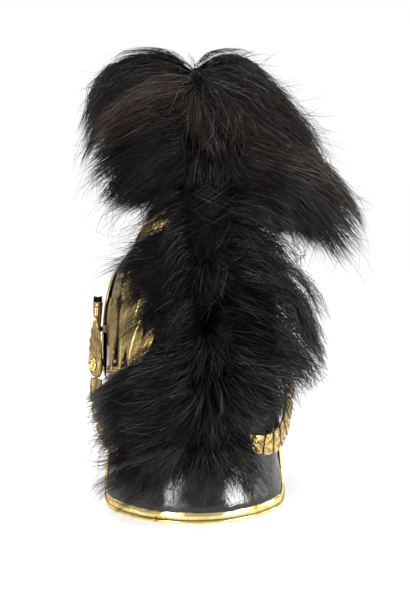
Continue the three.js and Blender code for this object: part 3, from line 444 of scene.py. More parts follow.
TUFT_ROOT = [[0, -6, 131, 128], [1, -6, 130, 104]]
TUFT = [
  [0.0, 0, 4, 8, 0, 6, 14, 0, 8, 4, 0],
  [0.2, 90, 26, 18, 0, 68, 30, 8, 84, 0, 44],
  [0.8, 108, 26, 20, 0, 76, 30, 6, 94, 0, 30],
  [1.0, 140, 18, 20, 0, 50, 30, 4, 62, 6, 14],
  [1.0, 180, 14, 20, 0, 36, 30, 4, 46, 12, 12],
  [1.0, 220, 18, 20, 0, 44, 30, 4, 54, 8, 16],
  [0.8, 250, 24, 20, 0, 58, 30, 6, 68, 2, 28],
  [0.2, 270, 24, 18, 0, 50, 28, 8, 60, 0, 40],
]
# outward direction of the crest along the root line: columns t, y, z
KINDS = {
    "mop": (MOP_ROOT, MOP, [[0, 0, 1], [1, 0, 1]]),
    "mane": (MANE_ROOT, MANE, [[0, 0.72, 0.69], [0.25, 0.92, 0.4], [0.5, 1, 0.08], [1, 0.97, -0.25]]),
    "tuft": (TUFT_ROOT, TUFT, [[0, 1, 0], [1, 1, 0]]),
}


def fur_row(rows, u):
    rows = np.asarray(rows, float)
    n = len(rows)
    x = (np.asarray(u, float) % 1.0) * n
    i = np.floor(x).astype(int)
    t = (x - i)[..., None]

    def P(k):
        r = rows[(i + k) % n].copy()
        lap = np.where(i + k < 0, -360.0, np.where(i + k >= n, 360.0, 0.0))
        r[..., 1] += lap
        return r

    a, b, d, e = P(-1), P(0), P(1), P(2)
    return 0.5 * (2 * b + (d - a) * t + (2 * a - 5 * b + 4 * d - e) * t * t + (3 * b - a - 3 * d + e) * t ** 3)


def fur_point(kind, u, v, far=1.0, rise=1.0, fall=1.0, turn=0.0, slip=0.0):
    """A point of the outer form; far, rise and fall scale its three directions, turn swings it, slip moves its root."""
    root, rows, out = KINDS[kind]
    r = fur_row(rows, u)
    t = np.clip(r[..., 0] + slip, 0, 1)
    R = lookup(root, t)
    O = unit(np.concatenate([np.zeros(t.shape + (1,)), lookup(out, t)], -1))
    hd = rad(r[..., 1] + turn)
    if kind == "mop":
        D = np.stack([np.sin(hd), np.cos(hd), 0 * hd], -1)
    else:
        D = np.stack([np.sin(hd), -O[..., 2] * np.cos(hd), O[..., 1] * np.cos(hd)], -1)
    w = [3 * (1 - v) ** 2 * v, 3 * (1 - v) * v * v, v ** 3]
    d = (w[0] * r[..., 2] + w[1] * r[..., 5] + w[2] * r[..., 8]) * far
    n = (w[0] * r[..., 3] + w[1] * r[..., 6] + w[2] * r[..., 9]) * rise
    g = (w[0] * r[..., 4] + w[1] * r[..., 7] + w[2] * r[..., 10]) * fall
    p = R + D * d[..., None] + O * n[..., None]
    p[..., 2] -= g
    return p


def to_skull(p):
    """Standing frame back to the helmet frame: x, back, height above the rim."""
    y, z = p[..., 1], p[..., 2] - BASE_Z
    return p[..., 0], y * CT + z * ST, -y * ST + z * CT


def clear_of_helmet(p, margin):
    """Points moved outwards to stay margin mm off the skull and the neck guard."""
    p = p.copy()
    x, yp, h = to_skull(p)
    hh = np.maximum(h, 0) / (SKULL_H + margin)
    f = ((x / (SKULL_A + margin)) ** 2 + (yp / (SKULL_B + margin)) ** 2) ** (SKULL_N / 2) + hh ** SKULL_N
    k = np.where((h > -2) & (f < 1), np.maximum(f, 0.05) ** (-1 / SKULL_N), 1.0)
    q = stand(x * k, yp * k, np.where(h > 0, h * k, h))
    p = np.where((k > 1)[..., None], q, p)
    # below the rim: the guard's surface at the same height
    a = np.degrees(np.arctan2(p[..., 0], p[..., 1] - 8))
    low = (p[..., 2] < guard_top(np.clip(a, -78, 78)) + 2) & (np.abs(a) < 80)
    g = guard_point(a, np.maximum(p[..., 2], 0), margin + 1)
    here, there = np.hypot(p[..., 0], p[..., 1] - 8), np.hypot(g[..., 0], g[..., 1] - 8)
    k = np.where(low & (here < there), there / np.maximum(here, 1), 1.0)
    p[..., 0] *= k
    p[..., 1] = 8 + (p[..., 1] - 8) * k
    return p


# ---------------------------------------------------------------- materials, all procedural
class Look:
    """A node material round one Principled shader."""

    def __init__(self, name, **sockets):
        self.m = bpy.data.materials.new(name)
        self.m.use_nodes = True
        self.t = self.m.node_tree
        self.t.nodes.clear()
        out = self.add("ShaderNodeOutputMaterial")
        self.b = self.add("ShaderNodeBsdfPrincipled")
        self.t.links.new(self.b.outputs["BSDF"], out.inputs["Surface"])
        self.at = self.add("ShaderNodeTexCoord").outputs["Object"]
        for k, v in sockets.items():
            self.b.inputs[k.replace("_", " ")].default_value = v

    def add(self, kind, **props):
        n = self.t.nodes.new(kind)
        for k, v in props.items():
            setattr(n, k, v)
        return n

    def put(self, socket, value):
        if hasattr(value, "is_output"):
            self.t.links.new(value, socket)
        else:
            socket.default_value = value

    def noise(self, scale, detail=3.0, rough=0.5, stretch=None, warp=0.0):
        v = self.at
        if stretch:
            n = self.add("ShaderNodeMapping")
            n.inputs["Scale"].default_value = stretch
            self.t.links.new(v, n.inputs["Vector"])
            v = n.outputs["Vector"]
        n = self.add("ShaderNodeTexNoise")
        self.t.links.new(v, n.inputs["Vector"])
        for k, x in (("Scale", scale), ("Detail", detail), ("Roughness", rough), ("Distortion", warp)):
            n.inputs[k].default_value = x
        return n.outputs["Fac"]

    def cells(self, scale, feature="F1"):
        n = self.add("ShaderNodeTexVoronoi", feature=feature)
        self.t.links.new(self.at, n.inputs["Vector"])
        n.inputs["Scale"].default_value = scale
        return n.outputs["Distance"]

    def ramp(self, fac, *stops):
        n = self.add("ShaderNodeValToRGB")
        r = n.color_ramp
        while len(r.elements) < len(stops):
            r.elements.new(0.5)
        for e, (pos, colour) in zip(r.elements, stops):
            e.position = pos
            e.color = (*colour, 1)
        self.t.links.new(fac, n.inputs["Fac"])
        return n.outputs["Color"]

    def span(self, fac, lo, hi, a=0.0, b=1.0):
        n = self.add("ShaderNodeMapRange")
        for k, x in (("Value", fac), ("From Min", a), ("From Max", b), ("To Min", lo), ("To Max", hi)):
            self.put(n.inputs[k], x)
        return n.outputs["Result"]

    def sums(self, op, a, b):
        n = self.add("ShaderNodeMath", operation=op)
        self.put(n.inputs[0], a)
        self.put(n.inputs[1], b)
        return n.outputs[0]

    def mix(self, fac, a, b):
        n = self.add("ShaderNodeMix", data_type="RGBA")
        self.put(n.inputs["Factor"], fac)
        for k, x in (("A", a), ("B", b)):
            s = [i for i in n.inputs if i.name == k and i.type == "RGBA"][0]
            self.put(s, x if hasattr(x, "is_output") else (*x, 1))
        return [o for o in n.outputs if o.type == "RGBA"][0]

    def attr(self, name):
        return self.add("ShaderNodeAttribute", attribute_name=name).outputs["Fac"]

    def bump(self, height, distance, after=None, strength=1.0):
        n = self.add("ShaderNodeBump")
        n.inputs["Distance"].default_value = distance
        n.inputs["Strength"].default_value = strength
        self.t.links.new(height, n.inputs["Height"])
        if after is not None:
            self.t.links.new(after, n.inputs["Normal"])
        return n.outputs["Normal"]

    def finish(self, colour=None, rough=None, normal=None, metal=None):
        for k, x in (("Base Color", colour), ("Roughness", rough), ("Normal", normal), ("Metallic", metal)):
            if x is not None:
                self.t.links.new(x, self.b.inputs[k])
        return self.m


def patent_leather():
    """Lacquered black leather: cloudy gloss, fine crazing, matt flesh side on its inside."""
    k = Look("patent_leather", Specular_IOR_Level=0.42, Coat_IOR=1.5)
    big, mid, fine = k.noise(17, 3, 0.55, warp=0.6), k.noise(95, 4, 0.6), k.noise(900, 3, 0.6)
    inside = k.attr("cavity")
    face = k.ramp(mid, (0.32, (0.0045, 0.0047, 0.0055)), (0.55, (0.0075, 0.0075, 0.008)), (0.78, (0.014, 0.0125, 0.0115)))
    flesh = k.ramp(k.noise(260, 5, 0.7), (0.3, (0.022, 0.014, 0.009)), (0.7, (0.055, 0.036, 0.022)))
    colour = k.mix(inside, face, flesh)
    gloss = k.span(k.sums("MULTIPLY", big, mid), 0.07, 0.26, 0.12, 0.42)
    rough = k.sums("MAXIMUM", gloss, k.sums("MULTIPLY", inside, 0.82))
    n = k.bump(big, 0.0017)
    n = k.bump(mid, 0.00026, n)
    n = k.bump(fine, 0.000025, n)
    crack = k.span(k.cells(62, "DISTANCE_TO_EDGE"), 0, 1, 0.0, 0.035)
    n = k.bump(crack, 0.00004, n)
    return k.finish(colour, rough, n)


def gilt_brass():
    """Worn gilt sheet brass: pale on the high places, brown in the hollows."""
    k = Look("gilt_brass", Specular_IOR_Level=0.5)
    hollow = k.attr("cavity")
    stain, speck = k.noise(70, 5, 0.65, warp=0.8), k.noise(520, 4, 0.6)
    worn = k.ramp(stain, (0.28, (0.27, 0.175, 0.055)), (0.48, (0.40, 0.28, 0.105)), (0.72, (0.53, 0.40, 0.19)))
    dirt = k.ramp(speck, (0.3, (0.055, 0.032, 0.010)), (0.7, (0.17, 0.105, 0.03)))
    depth = k.span(k.sums("ADD", hollow, k.span(speck, -0.22, 0.22)), 0, 1, 0.28, 0.9)
    colour = k.mix(depth, worn, dirt)
    rough = k.span(k.sums("ADD", stain, depth), 0.26, 0.62, 0.3, 1.5)
    n = k.bump(stain, 0.0005)
    n = k.bump(speck, 0.00009, n)
    return k.finish(colour, rough, n, k.span(depth, 1.0, 0.72))


def polished_brass():
    """Polished sheet brass with brown tarnish in its folds and small dents."""
    k = Look("polished_brass", Specular_IOR_Level=0.5)
    hollow = k.attr("cavity")
    stain, fine = k.noise(38, 5, 0.62, warp=1.2), k.noise(420, 4, 0.6)
    face = k.ramp(stain, (0.30, (0.58, 0.37, 0.08)), (0.45, (0.82, 0.62, 0.20)), (0.62, (0.93, 0.81, 0.38)))
    depth = k.span(k.sums("ADD", hollow, k.span(fine, -0.18, 0.18)), 0, 1, 0.3, 0.85)
    colour = k.mix(depth, face, (0.13, 0.075, 0.02))
    rough = k.span(k.sums("ADD", k.span(stain, 0.22, -0.1), depth), 0.13, 0.55, 0.0, 1.0)
    n = k.bump(k.noise(24, 2, 0.5), 0.0012)
    n = k.bump(fine, 0.00005, n)
    return k.finish(colour, rough, n, k.span(depth, 1.0, 0.8))


def scale_brass():
    """The chin scales' brass, embossed and brighter; the dark brown in its hollows and seams is part tarnish, part
    painted shade.
    """
    k = Look("scale_brass", Specular_IOR_Level=0.5)
    hollow = k.attr("cavity")
    stain, fine = k.noise(90, 5, 0.65, warp=1.0), k.noise(650, 4, 0.6)
    face = k.ramp(stain, (0.30, (0.36, 0.215, 0.036)), (0.47, (0.60, 0.41, 0.105)), (0.68, (0.86, 0.67, 0.27)))
    # the dark mix by the hollow value is part tarnish, part painted shade in the deep relief and the seams
    depth = k.span(k.sums("ADD", hollow, k.span(fine, -0.3, 0.3)), 0, 1, 0.16, 0.72)
    colour = k.mix(depth, face, (0.085, 0.045, 0.010))
    rough = k.span(k.sums("ADD", k.span(stain, 0.2, -0.05), depth), 0.14, 0.55, 0.0, 1.0)
    n = k.bump(stain, 0.0009)
    n = k.bump(fine, 0.00018, n)
    return k.finish(colour, rough, n, k.span(depth, 1.0, 0.8))


def fur_hair(name, light, gloss):
    """Bear or horse hair: near black with brown ends, a soft grey sheen along it; light scales its colour, to paint it
    lit or shaded.
    """
    k = Look(name, Specular_IOR_Level=gloss)
    tone = k.attr("tone")
    spots = k.noise(230, 4, 0.6)
    t = k.sums("ADD", tone, k.span(spots, -0.12, 0.12))
    colour = k.ramp(
        t, (0.0, (0.0042 * light, 0.0036 * light, 0.0036 * light)), (0.14, (0.0098 * light, 0.0078 * light, 0.0071 * light)),
        (0.32, (0.023 * light, 0.0160 * light, 0.0134 * light)), (0.62, (0.055 * light, 0.034 * light, 0.025 * light)), (1.0, (0.15 * light, 0.085 * light, 0.052 * light)),
    )
    gleam = k.attr("shine")
    k.t.links.new(k.span(gleam, gloss * 0.18, gloss * 2.2), k.b.inputs["Specular IOR Level"])
    return k.finish(colour, k.span(spots, 0.28, 0.50), None)


def strap_leather():
    k = Look("strap_leather", Specular_IOR_Level=0.4)
    grain, wear = k.cells(900), k.noise(120, 5, 0.65)
    worn = k.attr("cavity")
    colour = k.mix(worn, k.ramp(wear, (0.3, (0.012, 0.008, 0.006)), (0.7, (0.032, 0.021, 0.014))), (0.075, 0.048, 0.030))
    n = k.bump(wear, 0.0003)
    n = k.bump(grain, 0.00012, n)
    return k.finish(colour, k.span(wear, 0.42, 0.66), n)


PATENT, GILT, BRASS_M, SCALE_M, STRAP_M = patent_leather(), gilt_brass(), polished_brass(), scale_brass(), strap_leather()
# The crest's top hair is a lighter copy of the same hair, painted lit from above; the mane's is the darker, shaded
# copy; the underlayer is darker still, painted as the shade between the hairs.
HAIR, HAIR_TOP_PAINTED_LIT, CORE_PAINTED_SHADE = fur_hair("fur_hair", 0.38, 0.26), fur_hair("fur_hair_top_painted_lit", 0.66, 0.33), fur_hair("fur_underlayer_painted_shade", 0.30, 0.06)


# ---------------------------------------------------------------- skull
def skull_piece():
    b = Build()
    cols, rows = 120, 38

    def dome(off, flip, cav):
        phi = np.arange(rows) / rows * (math.pi / 2)
        h = (SKULL_H + off) * np.sin(phi) ** (2 / 2.6)
        r = (1 - (h / (SKULL_H + off)) ** SKULL_N) ** (1 / SKULL_N)
        a = np.arange(cols) / cols * 2 * math.pi
        A, Hh = np.meshgrid(a, h)
        R = r[:, None] + 0 * A
        p = stand((SKULL_A + off) * R * np.sin(A), (SKULL_B + off) * R * np.cos(A), Hh)
        # hand-blocked leather is a little uneven
        c = stand(0.0, 0.0, 60.0)
        p = p + unit(p - c) * (0.35 * wobble(p, 55, 5) * np.clip(Hh / 20, 0, 1))[..., None]
        ix = b.grid(p, cav, close_v=True, flip=flip)
        top = b.points(stand(0.0, 0.0, SKULL_H + off)[None], cav)
        b.fan(ix[-1], top, flip=flip)
        return ix

    o, i = dome(0, False, 0.0), dome(-LEATHER, True, 1.0)
    b.strip(o[0], i[0], close=True, flip=True)
    b.outward(0, 0)
    return b.piece("skull_leather", PATENT, ["skull"], 40)


# ---------------------------------------------------------------- neck guard and its brass binding
def guard_piece():
    b = Build()
    s0 = ARC_END - GUARD_CORNER
    corner = s0 + GUARD_CORNER * np.sin(np.arange(1, 15) / 14 * math.pi / 2)
    cols = np.concatenate([-corner[::-1], np.linspace(-s0, s0, 109), corner])
    rows = 36
    zl, a = edge_z(cols), angle_at(cols)
    zt = guard_top(a)
    j = (np.arange(rows + 1) / rows)[:, None] ** 1.4
    z = lerp(zl[None], zt[None], j)
    A = np.broadcast_to(a, z.shape)
    outer = guard_point(A, z, 0)
    n = unit(outer - np.array([0, 8.0, 0]) * np.array([1, 1, 0]) - outer * np.array([0, 0, 1]))
    inner = guard_point(A, z, -LEATHER)
    edge = np.clip((z - zl[None]) / 14, 0, 1) * np.clip((ARC_END - np.abs(cols))[None] / 8, 0, 1) * np.clip((zt[None] - z) / 10, 0, 1)
    sway = (0.55 * wobble(outer, 60, 21) + 0.25 * wobble(outer, 24, 22)) * edge
    # a faint upright crease in the leather
    sway -= 0.45 * np.exp(-((A - 16.5 - 0.02 * z) / 0.9) ** 2) * edge
    sway += 1.2 * np.cos(math.pi * np.clip((z - 10) / 54, 0, 1)) * edge
    outer, inner = outer + n * sway[..., None], inner + n * sway[..., None]
    b.sheet(outer, inner, 0.0, 1.0)
    return b.piece("neck_guard_leather", PATENT, ["neck_guard"], 50)


def folded(b, rings, cav):
    """A closed strip folded over an edge; the ring's second half runs back beside its first."""
    q0, t0 = len(b.q), len(b.t)
    ix = b.grid(rings, cav, close_v=True)
    n = ix.shape[1]
    k = np.arange(n // 2 - 1)
    for row, flip in ((ix[0], True), (ix[-1], False)):
        q = np.stack([row[k], row[k + 1], row[n - 2 - k], row[n - 1 - k]], -1)
        b.q.append(q[:, ::-1] if flip else q)
    b.outward(q0, t0)


def binding_profile(w, leather, gap, over):
    """Section of the folded brass: columns inward distance, offset, hollow; w its face width."""
    a2 = gap + BRASS
    k = np.minimum(1.0, w / 8.0)
    outside = [
        (w, a2 - 0.75, 0.9), (w - 0.1, a2 - 0.45, 0.5), (w - 0.7 * k, a2 - 0.2, 0.05), (w * 0.82, a2 - 0.06, 0.0), (w * 0.66, a2, 0.0),
        (w * 0.5, a2 - 0.05, 0.05), (2.95 * k, a2 - 0.32, 0.35), (2.45 * k, a2 - 0.62, 0.95), (2.0 * k, a2 - 0.5, 0.8),
        (1.55 * k, a2 - 0.02, 0.15), (0.9 * k, a2 + 0.22, 0.0), (0.1, a2 + 0.22, 0.0), (-0.7, a2 - 0.02, 0.0), (-over + 0.12, a2 - 0.5, 0.05),
        (-over, -leather * 0.4, 0.2), (-over + 0.1, -leather - a2 + 0.6, 0.3), (-0.8, -leather - a2 + 0.1, 0.3), (0.4, -leather - a2, 0.3),
        (w * 0.3, -leather - a2, 0.35), (w * 0.55, -leather - a2, 0.35), (w * 0.74, -leather - a2 + 0.05, 0.4), (w * 0.8, -leather - a2 + 0.4, 0.9),
    ]
    d = np.stack([np.broadcast_to(r[0], np.shape(w)) for r in outside], -1)
    o = np.array([r[1] for r in outside])
    c = np.array([r[2] for r in outside])
    din = np.maximum(d, -0.35)
    oin = np.clip(o, -leather - gap, gap)
    return np.concatenate([d, din[..., ::-1]], -1), np.concatenate([o, oin[::-1]]), np.concatenate([c, 0 * c + 0.9])


def guard_binding_piece():
    b = Build()
    s0 = ARC_END - GUARD_CORNER
    top = float(guard_top(GUARD_END)) - 1.5
    st = []
    for i in range(29):
        st.append([ARC_END, lerp(top, GUARD_CORNER + EDGE_Z, i / 28), -1, 0, BIND_SIDE])
    for i in range(1, 25):
        t = i / 24 * math.pi / 2
        st.append([s0 + GUARD_CORNER * math.cos(t), EDGE_Z + GUARD_CORNER * (1 - math.sin(t)), -math.cos(t), math.sin(t), lerp(BIND_SIDE, BIND_LOW, i / 24)])
    for i in range(1, 53):
        st.append([lerp(s0, 0, i / 52), EDGE_Z, 0, 1, BIND_LOW])
    half = np.array(st)
    full = np.concatenate([half, half[:-1][::-1]])
    side = np.concatenate([np.ones(len(half)), -np.ones(len(half) - 1)])
    d, o, c = binding_profile(full[:, 4], LEATHER, GAP, 0.35 + BRASS)
    arc = np.maximum(0, full[:, 0:1] + full[:, 2:3] * d)
    z = np.maximum(0, full[:, 1:2] + full[:, 3:4] * d)
    p = guard_point(angle_at(arc), z, np.broadcast_to(o, d.shape))
    p[..., 0] *= side[:, None]
    # small hammer dents along the face, and the joint where two lengths of brass meet
    dent = 0.10 * wobble(p, 13, 31) + 0.05 * wobble(p, 5, 32)
    n = unit(p * np.array([1, 1, 0]) - np.array([0, 8.0, 0]))
    face = (np.arange(len(o)) < 13) & (np.arange(len(o)) > 1)
    p += n * (dent * face)[..., None]
    cav = np.broadcast_to(c, d.shape).copy()
    joint = np.abs(p[..., 0] - 42.0) + 40 * (side[:, None] < 0)
    cav += 0.9 * np.exp(-(joint / 0.8) ** 2) * face
    p -= n * (0.25 * np.exp(-(joint / 0.7) ** 2) * face)[..., None]
    folded(b, p, np.clip(cav, 0, 1))
    # small nail holes in the face, drawn as studs coloured dark brown
    for sx in (32.0, 25.5, 11.0):
        a = math.degrees(math.asin(sx / GUARD_A))
        c0 = guard_point(a, 4.0, GAP + BRASS - 0.55)
        nn = unit(np.array([math.sin(math.radians(a)), math.cos(math.radians(a)), 0.12]))
        stud(b, c0, nn, 0.75, 0.62, 0.98)
    return b.piece("neck_guard_brass", BRASS_M, ["neck_guard_binding"], 40)


def stud(b, at, n, r, tall, cav, seg=12):
    """A small rivet head."""
    u = unit(np.cross(n, [0, 0, 1.0]))
    v = np.cross(n, u)
    a = np.arange(seg) / seg * 2 * math.pi
    prof = [(r, 0), (r, tall * 0.35), (r * 0.8, tall * 0.75), (r * 0.4, tall)]
    rings = np.stack([at + n * h + (np.cos(a)[:, None] * u + np.sin(a)[:, None] * v) * rr for rr, h in prof])
    b.tube(rings, cav)


# ---------------------------------------------------------------- peak
def peak_piece():
    b = Build()
    u, v = np.meshgrid(np.linspace(-1, 1, 121), np.linspace(0, 1, 23))
    p = peak_point(u, v)
    n = peak_normal(u, v)
    sway = 0.3 * wobble(p, 40, 41) * np.sin(np.pi * v) * (1 - u ** 4)
    b.sheet(p + n * sway[..., None], p + n * (sway - PEAK_T)[..., None], 0.0, 1.0)
    return b.piece("front_peak_leather", PATENT, ["front_peak"], 50)


def peak_binding_piece():
    b = Build()
    n = 120
    u = np.linspace(-1, 1, n + 1)
    u[0], u[-1] = lerp(u[0], -1 + 2 / 24, 0.3), lerp(u[-1], 1 - 2 / 24, 0.3)
    u[1:-1] = np.linspace(u[0], u[-1], n + 1)[1:-1]
    d, o, c = binding_profile(np.full(n + 1, PEAK_BIND), PEAK_T, 0.5, 0.5 + BRASS)
    root, edge = peak_point(u, 0 * u), peak_point(u, 0 * u + 1)
    f = PEAK_BIND / np.linalg.norm(edge - root, axis=1)
    down = unit(edge - peak_point(u, 0 * u + 0.96))
    v = np.where(d >= 0, 1 - (d / PEAK_BIND) * f[:, None], 1.0)
    U = np.broadcast_to(u[:, None], d.shape)
    p = peak_point(U, v) + down[:, None] * np.maximum(-d, 0)[..., None] + peak_normal(U, v) * np.broadcast_to(np.minimum(o, 0.5 + BRASS), d.shape)[..., None]
    p[..., 2] = np.maximum(p[..., 2], 0.0)
    folded(b, p, np.broadcast_to(c, d.shape))
    return b.piece("front_peak_brass", BRASS_M, ["front_peak_binding"], 40)


# ---------------------------------------------------------------- front plate, embossed
def front_plate_piece():
    b = Build()
    nu, nv = 149, 57
    a = np.linspace(-PLATE_END, PLATE_END, nu)
    hl = lookup(PLATE_EDGE, np.abs(a))
    t = np.linspace(0, 1, nv)
    A, Tt = np.meshgrid(a, t)
    H = lerp(hl[:, 1][None], hl[:, 0][None], Tt)
    # distances in mm along the sheet from its borders
    top = (1 - Tt) * (hl[:, 0] - hl[:, 1])[None]
    low = Tt * (hl[:, 0] - hl[:, 1])[None]
    end = (PLATE_END - np.abs(A)) * 1.62
    d = np.minimum(np.minimum(top, low), end)
    relief = 0.9 * np.exp(-((d - 1.6) / 1.1) ** 2) - 0.35 * np.exp(-((d - 3.6) / 0.7) ** 2)
    along = np.where(end < np.minimum(top, low), H, A * 1.62)
    pearl = np.abs(np.sin(math.pi * along / 4.6)) * np.exp(-((d - 6.2) / 1.3) ** 2)
    relief += 0.75 * pearl - 0.3 * np.exp(-((d - 8.6) / 0.7) ** 2)
    # sunburst round a plain oval boss
    x, y = A * 1.62, H - 92
    r, th = np.hypot(x / 0.92, y), np.arctan2(y, x / 0.92)
    inside = smooth(9.5, 13, d)
    ray = np.abs(((th * 24 / math.pi) % 2) - 1)
    long_ray = lerp(74, 108, np.abs(((th * 12 / math.pi) % 2) - 1))
    rays = (1.3 * ray - 0.2) * smooth(30, 36, r) * (1 - smooth(long_ray - 10, long_ray, r))
    oval = 1.9 * (1 - smooth(20, 30, r)) + 1.1 * np.exp(-((r - 29) / 1.5) ** 2) - 0.7 * np.exp(-((r - 33) / 1.0) ** 2)
    relief += inside * (rays + oval)
    # a laurel branch towards each end
    for side in (-1, 1):
        for k in range(7):
            cx, cy = side * (84 + 1.5 * k), 44 + 13.5 * k
            for s2 in (-1, 1):
                ang = math.radians(68 if s2 < 0 else 112) if side > 0 else math.radians(112 if s2 < 0 else 68)
                lx = (A * 1.62 - cx - 5.6 * s2) * math.cos(ang) + (H - cy - 4) * math.sin(ang)
                ly = -(A * 1.62 - cx - 5.6 * s2) * math.sin(ang) + (H - cy - 4) * math.cos(ang)
                e = (lx / 9.5) ** 2 + (ly / 3.4) ** 2
                relief += inside * (1.5 * np.clip(1 - e, 0, 1) ** 0.6 - 0.5 * np.exp(-(ly / 0.5) ** 2) * (e < 0.8))
    relief += 0.06 * wobble(np.stack([x, H, 0 * x], -1), 5, 61)
    gy, gx = np.gradient(relief)
    low_pass = relief.copy()
    for _ in range(4):
        low_pass = (low_pass + np.roll(low_pass, 1, 0) + np.roll(low_pass, -1, 0) + np.roll(low_pass, 1, 1) + np.roll(low_pass, -1, 1)) / 5
    cav = np.clip(0.22 - 1.1 * (relief - low_pass) - 0.1 * relief, 0, 1)
    outer = plate_point(A, H, PLATE_T + relief * smooth(0, 0.8, d) * 0.9)
    # stamped through: the same figures show hollow on its back
    inner = plate_point(A, H, np.maximum(relief * smooth(0, 0.8, d) * 0.85, -0.1))
    b.sheet(outer, inner, cav, np.clip(0.3 + 0.9 * (relief - low_pass), 0, 1))
    return b.piece("front_plate_brass", GILT, ["front_plate"], 55)


# ---------------------------------------------------------------- comb
def comb_piece():
    b = Build()
    n, m = 230, 11
    key = np.linspace(COMB[0][0], COMB[-1][0], n)
    e = lookup(COMB, key)
    top = np.stack([0 * key, e[:, 0], e[:, 1]], -1)
    foot = comb_foot(key)
    foot[:, 0] = 0
    d = unit(top - foot)
    tall = np.linalg.norm(top - foot, axis=1)
    s = np.concatenate([[0, 0.02, 0.05, 0.09], np.linspace(0.13, 0.86, m), [0.9, 0.94, 0.975, 1.0]])
    # half width up the comb: a foot moulding, fluted side, bead along the crest
    base = np.interp(s, [0, 0.05, 0.1, 0.16, 0.84, 0.88, 0.93, 0.98, 1.0], [7.4, 7.4, 5.9, 5.9, 5.0, 4.6, 5.6, 4.9, 3.0])
    flute = np.sin(np.arange(n) / n * 2 * math.pi * 46)[:, None] * 0.75 * (smooth(0.12, 0.2, s) * (1 - smooth(0.8, 0.86, s)))[None]
    w = base[None] + flute
    cav = np.clip(0.35 - 0.5 * flute, 0, 1) * (smooth(0.1, 0.16, s) * (1 - smooth(0.84, 0.88, s)))[None]
    P = foot[:, None] + d[:, None] * (tall[:, None] * s[None])[..., None]
    right = P + np.stack([w, 0 * w, 0 * w], -1)
    left = (P - np.stack([w, 0 * w, 0 * w], -1))[:, ::-1]
    rings = np.concatenate([right, left], 1)
    b.tube(rings, np.concatenate([cav, cav[:, ::-1]], 1))
    return b.piece("comb_brass", GILT, ["comb"], 45)


# ---------------------------------------------------------------- ornaments on the skull's sides
# columns: foot angle, foot height, tip angle, tip height, width, lift, bend, where it is broadest (1 is the middle)
LEAVES = [
    (73.5, 60, 79, 110, 15, 0.0, 0.0, 1.25),
    (66.0, 37, 68.5, 114, 19, 0.9, -0.8, 1.55),
    (68.0, 104, 65, 137, 15, 0.0, 0.6, 0.9),
    (57.0, 35, 48.5, 116, 23, 0.4, -0.6, 1.9),
    (47.5, 39, 37.5, 90, 17, 0.9, 0.8, 1.35),
    (43.0, 38, 28.0, 79, 13, 0.1, 1.0, 1.2),
    (44.5, 84, 37.0, 122, 15, 0.0, -0.8, 1.0),
    (56.0, 104, 53.0, 141, 13, 0.0, 0.8, 1.0),
]


def leaf(b, side, foot, tip, width, lift, bend, heavy, n=38, m=19):
    t = np.linspace(0.004, 0.996, n)
    lobe = 1 + 0.085 * np.abs(np.sin(math.pi * t * 7.5)) - 0.05
    w = width / 2 * 1.12 * (0.05 + 0.95 * np.sin(math.pi * t ** heavy) ** 0.72) * lobe

    def line(tt):
        return lerp(foot[0], tip[0], tt) + bend * np.sin(math.pi * tt), lerp(foot[1], tip[1], tt)

    a, h = line(t)
    P, N = on_skull(a, h), skull_normal(a, h)
    T = unit(on_skull(*line(t + 0.01)) - on_skull(*line(t - 0.01)))
    B = unit(np.cross(N, T))
    c = np.linspace(-1, 1, m)
    bb = w[:, None] * c[None]
    crown = 1.7 * np.sin(math.pi * np.clip(t, 0.04, 0.96))[:, None] * (1 - np.abs(c[None]) ** 2.3)
    rib = 0.85 * np.exp(-(bb / 0.75) ** 2) - 0.45 * np.exp(-((np.abs(bb) - 1.7) / 0.6) ** 2)
    vein = 0.34 * np.sin(2 * math.pi * (t[:, None] * 10.5 - np.abs(bb) * 0.13)) * smooth(1.5, 2.6, np.abs(bb)) * (1 - np.abs(c[None]) ** 6)
    edge = 0.35 * np.exp(-((w[:, None] - np.abs(bb) - 0.4) / 0.5) ** 2)
    relief = rib + vein + edge
    low = GAP + 0.2
    sag = bb ** 2 / (2 * 82)
    curl = 0.7 * np.sin(t * 9 + foot[0])[:, None] * c[None] * 0.5
    o = low + 1.15 + lift + crown + relief * 0.8 - sag + np.clip(curl, -0.3, 0.6)
    top = P[:, None] + B[:, None] * bb[..., None] + N[:, None] * np.maximum(o, low + 0.5 - sag)[..., None]
    back = P[:, None] + B[:, None] * bb[..., None] + N[:, None] * (low - sag)[..., None]
    top[..., 0] *= side
    back[..., 0] *= side
    cav = np.clip(0.25 - 0.55 * relief + 0.35 * np.abs(c[None]) ** 5, 0, 1)
    b.sheet(top, back, cav, 0.9)


def ridged_band(b, side, a0, a1, h0, tall, thick, ridges, n=90):
    """A raised strip along the skull with fine ridges along its length."""
    m = ridges * 6 + 1
    a, s = np.linspace(a0, a1, n), np.linspace(0, 1, m)
    A, S = np.meshgrid(a, s)
    Hh = h0 + tall * S
    P, N = on_skull(A, Hh), skull_normal(A, Hh)
    prof = np.sin(math.pi * np.clip(S, 0.03, 0.97)) ** 0.35
    wave = 0.5 - 0.5 * np.cos(2 * math.pi * ridges * S)
    nick = 0.25 * wobble(P, 6, 71)
    o = GAP + 0.2 + (thick * 0.62 + 0.75 * wave + nick * wave) * prof
    top, back = P + N * o[..., None], P + N * (GAP + 0.15)
    top[..., 0] *= side
    back[..., 0] *= side
    b.sheet(top, back, np.clip(0.85 - 0.85 * wave, 0, 1), 0.9)


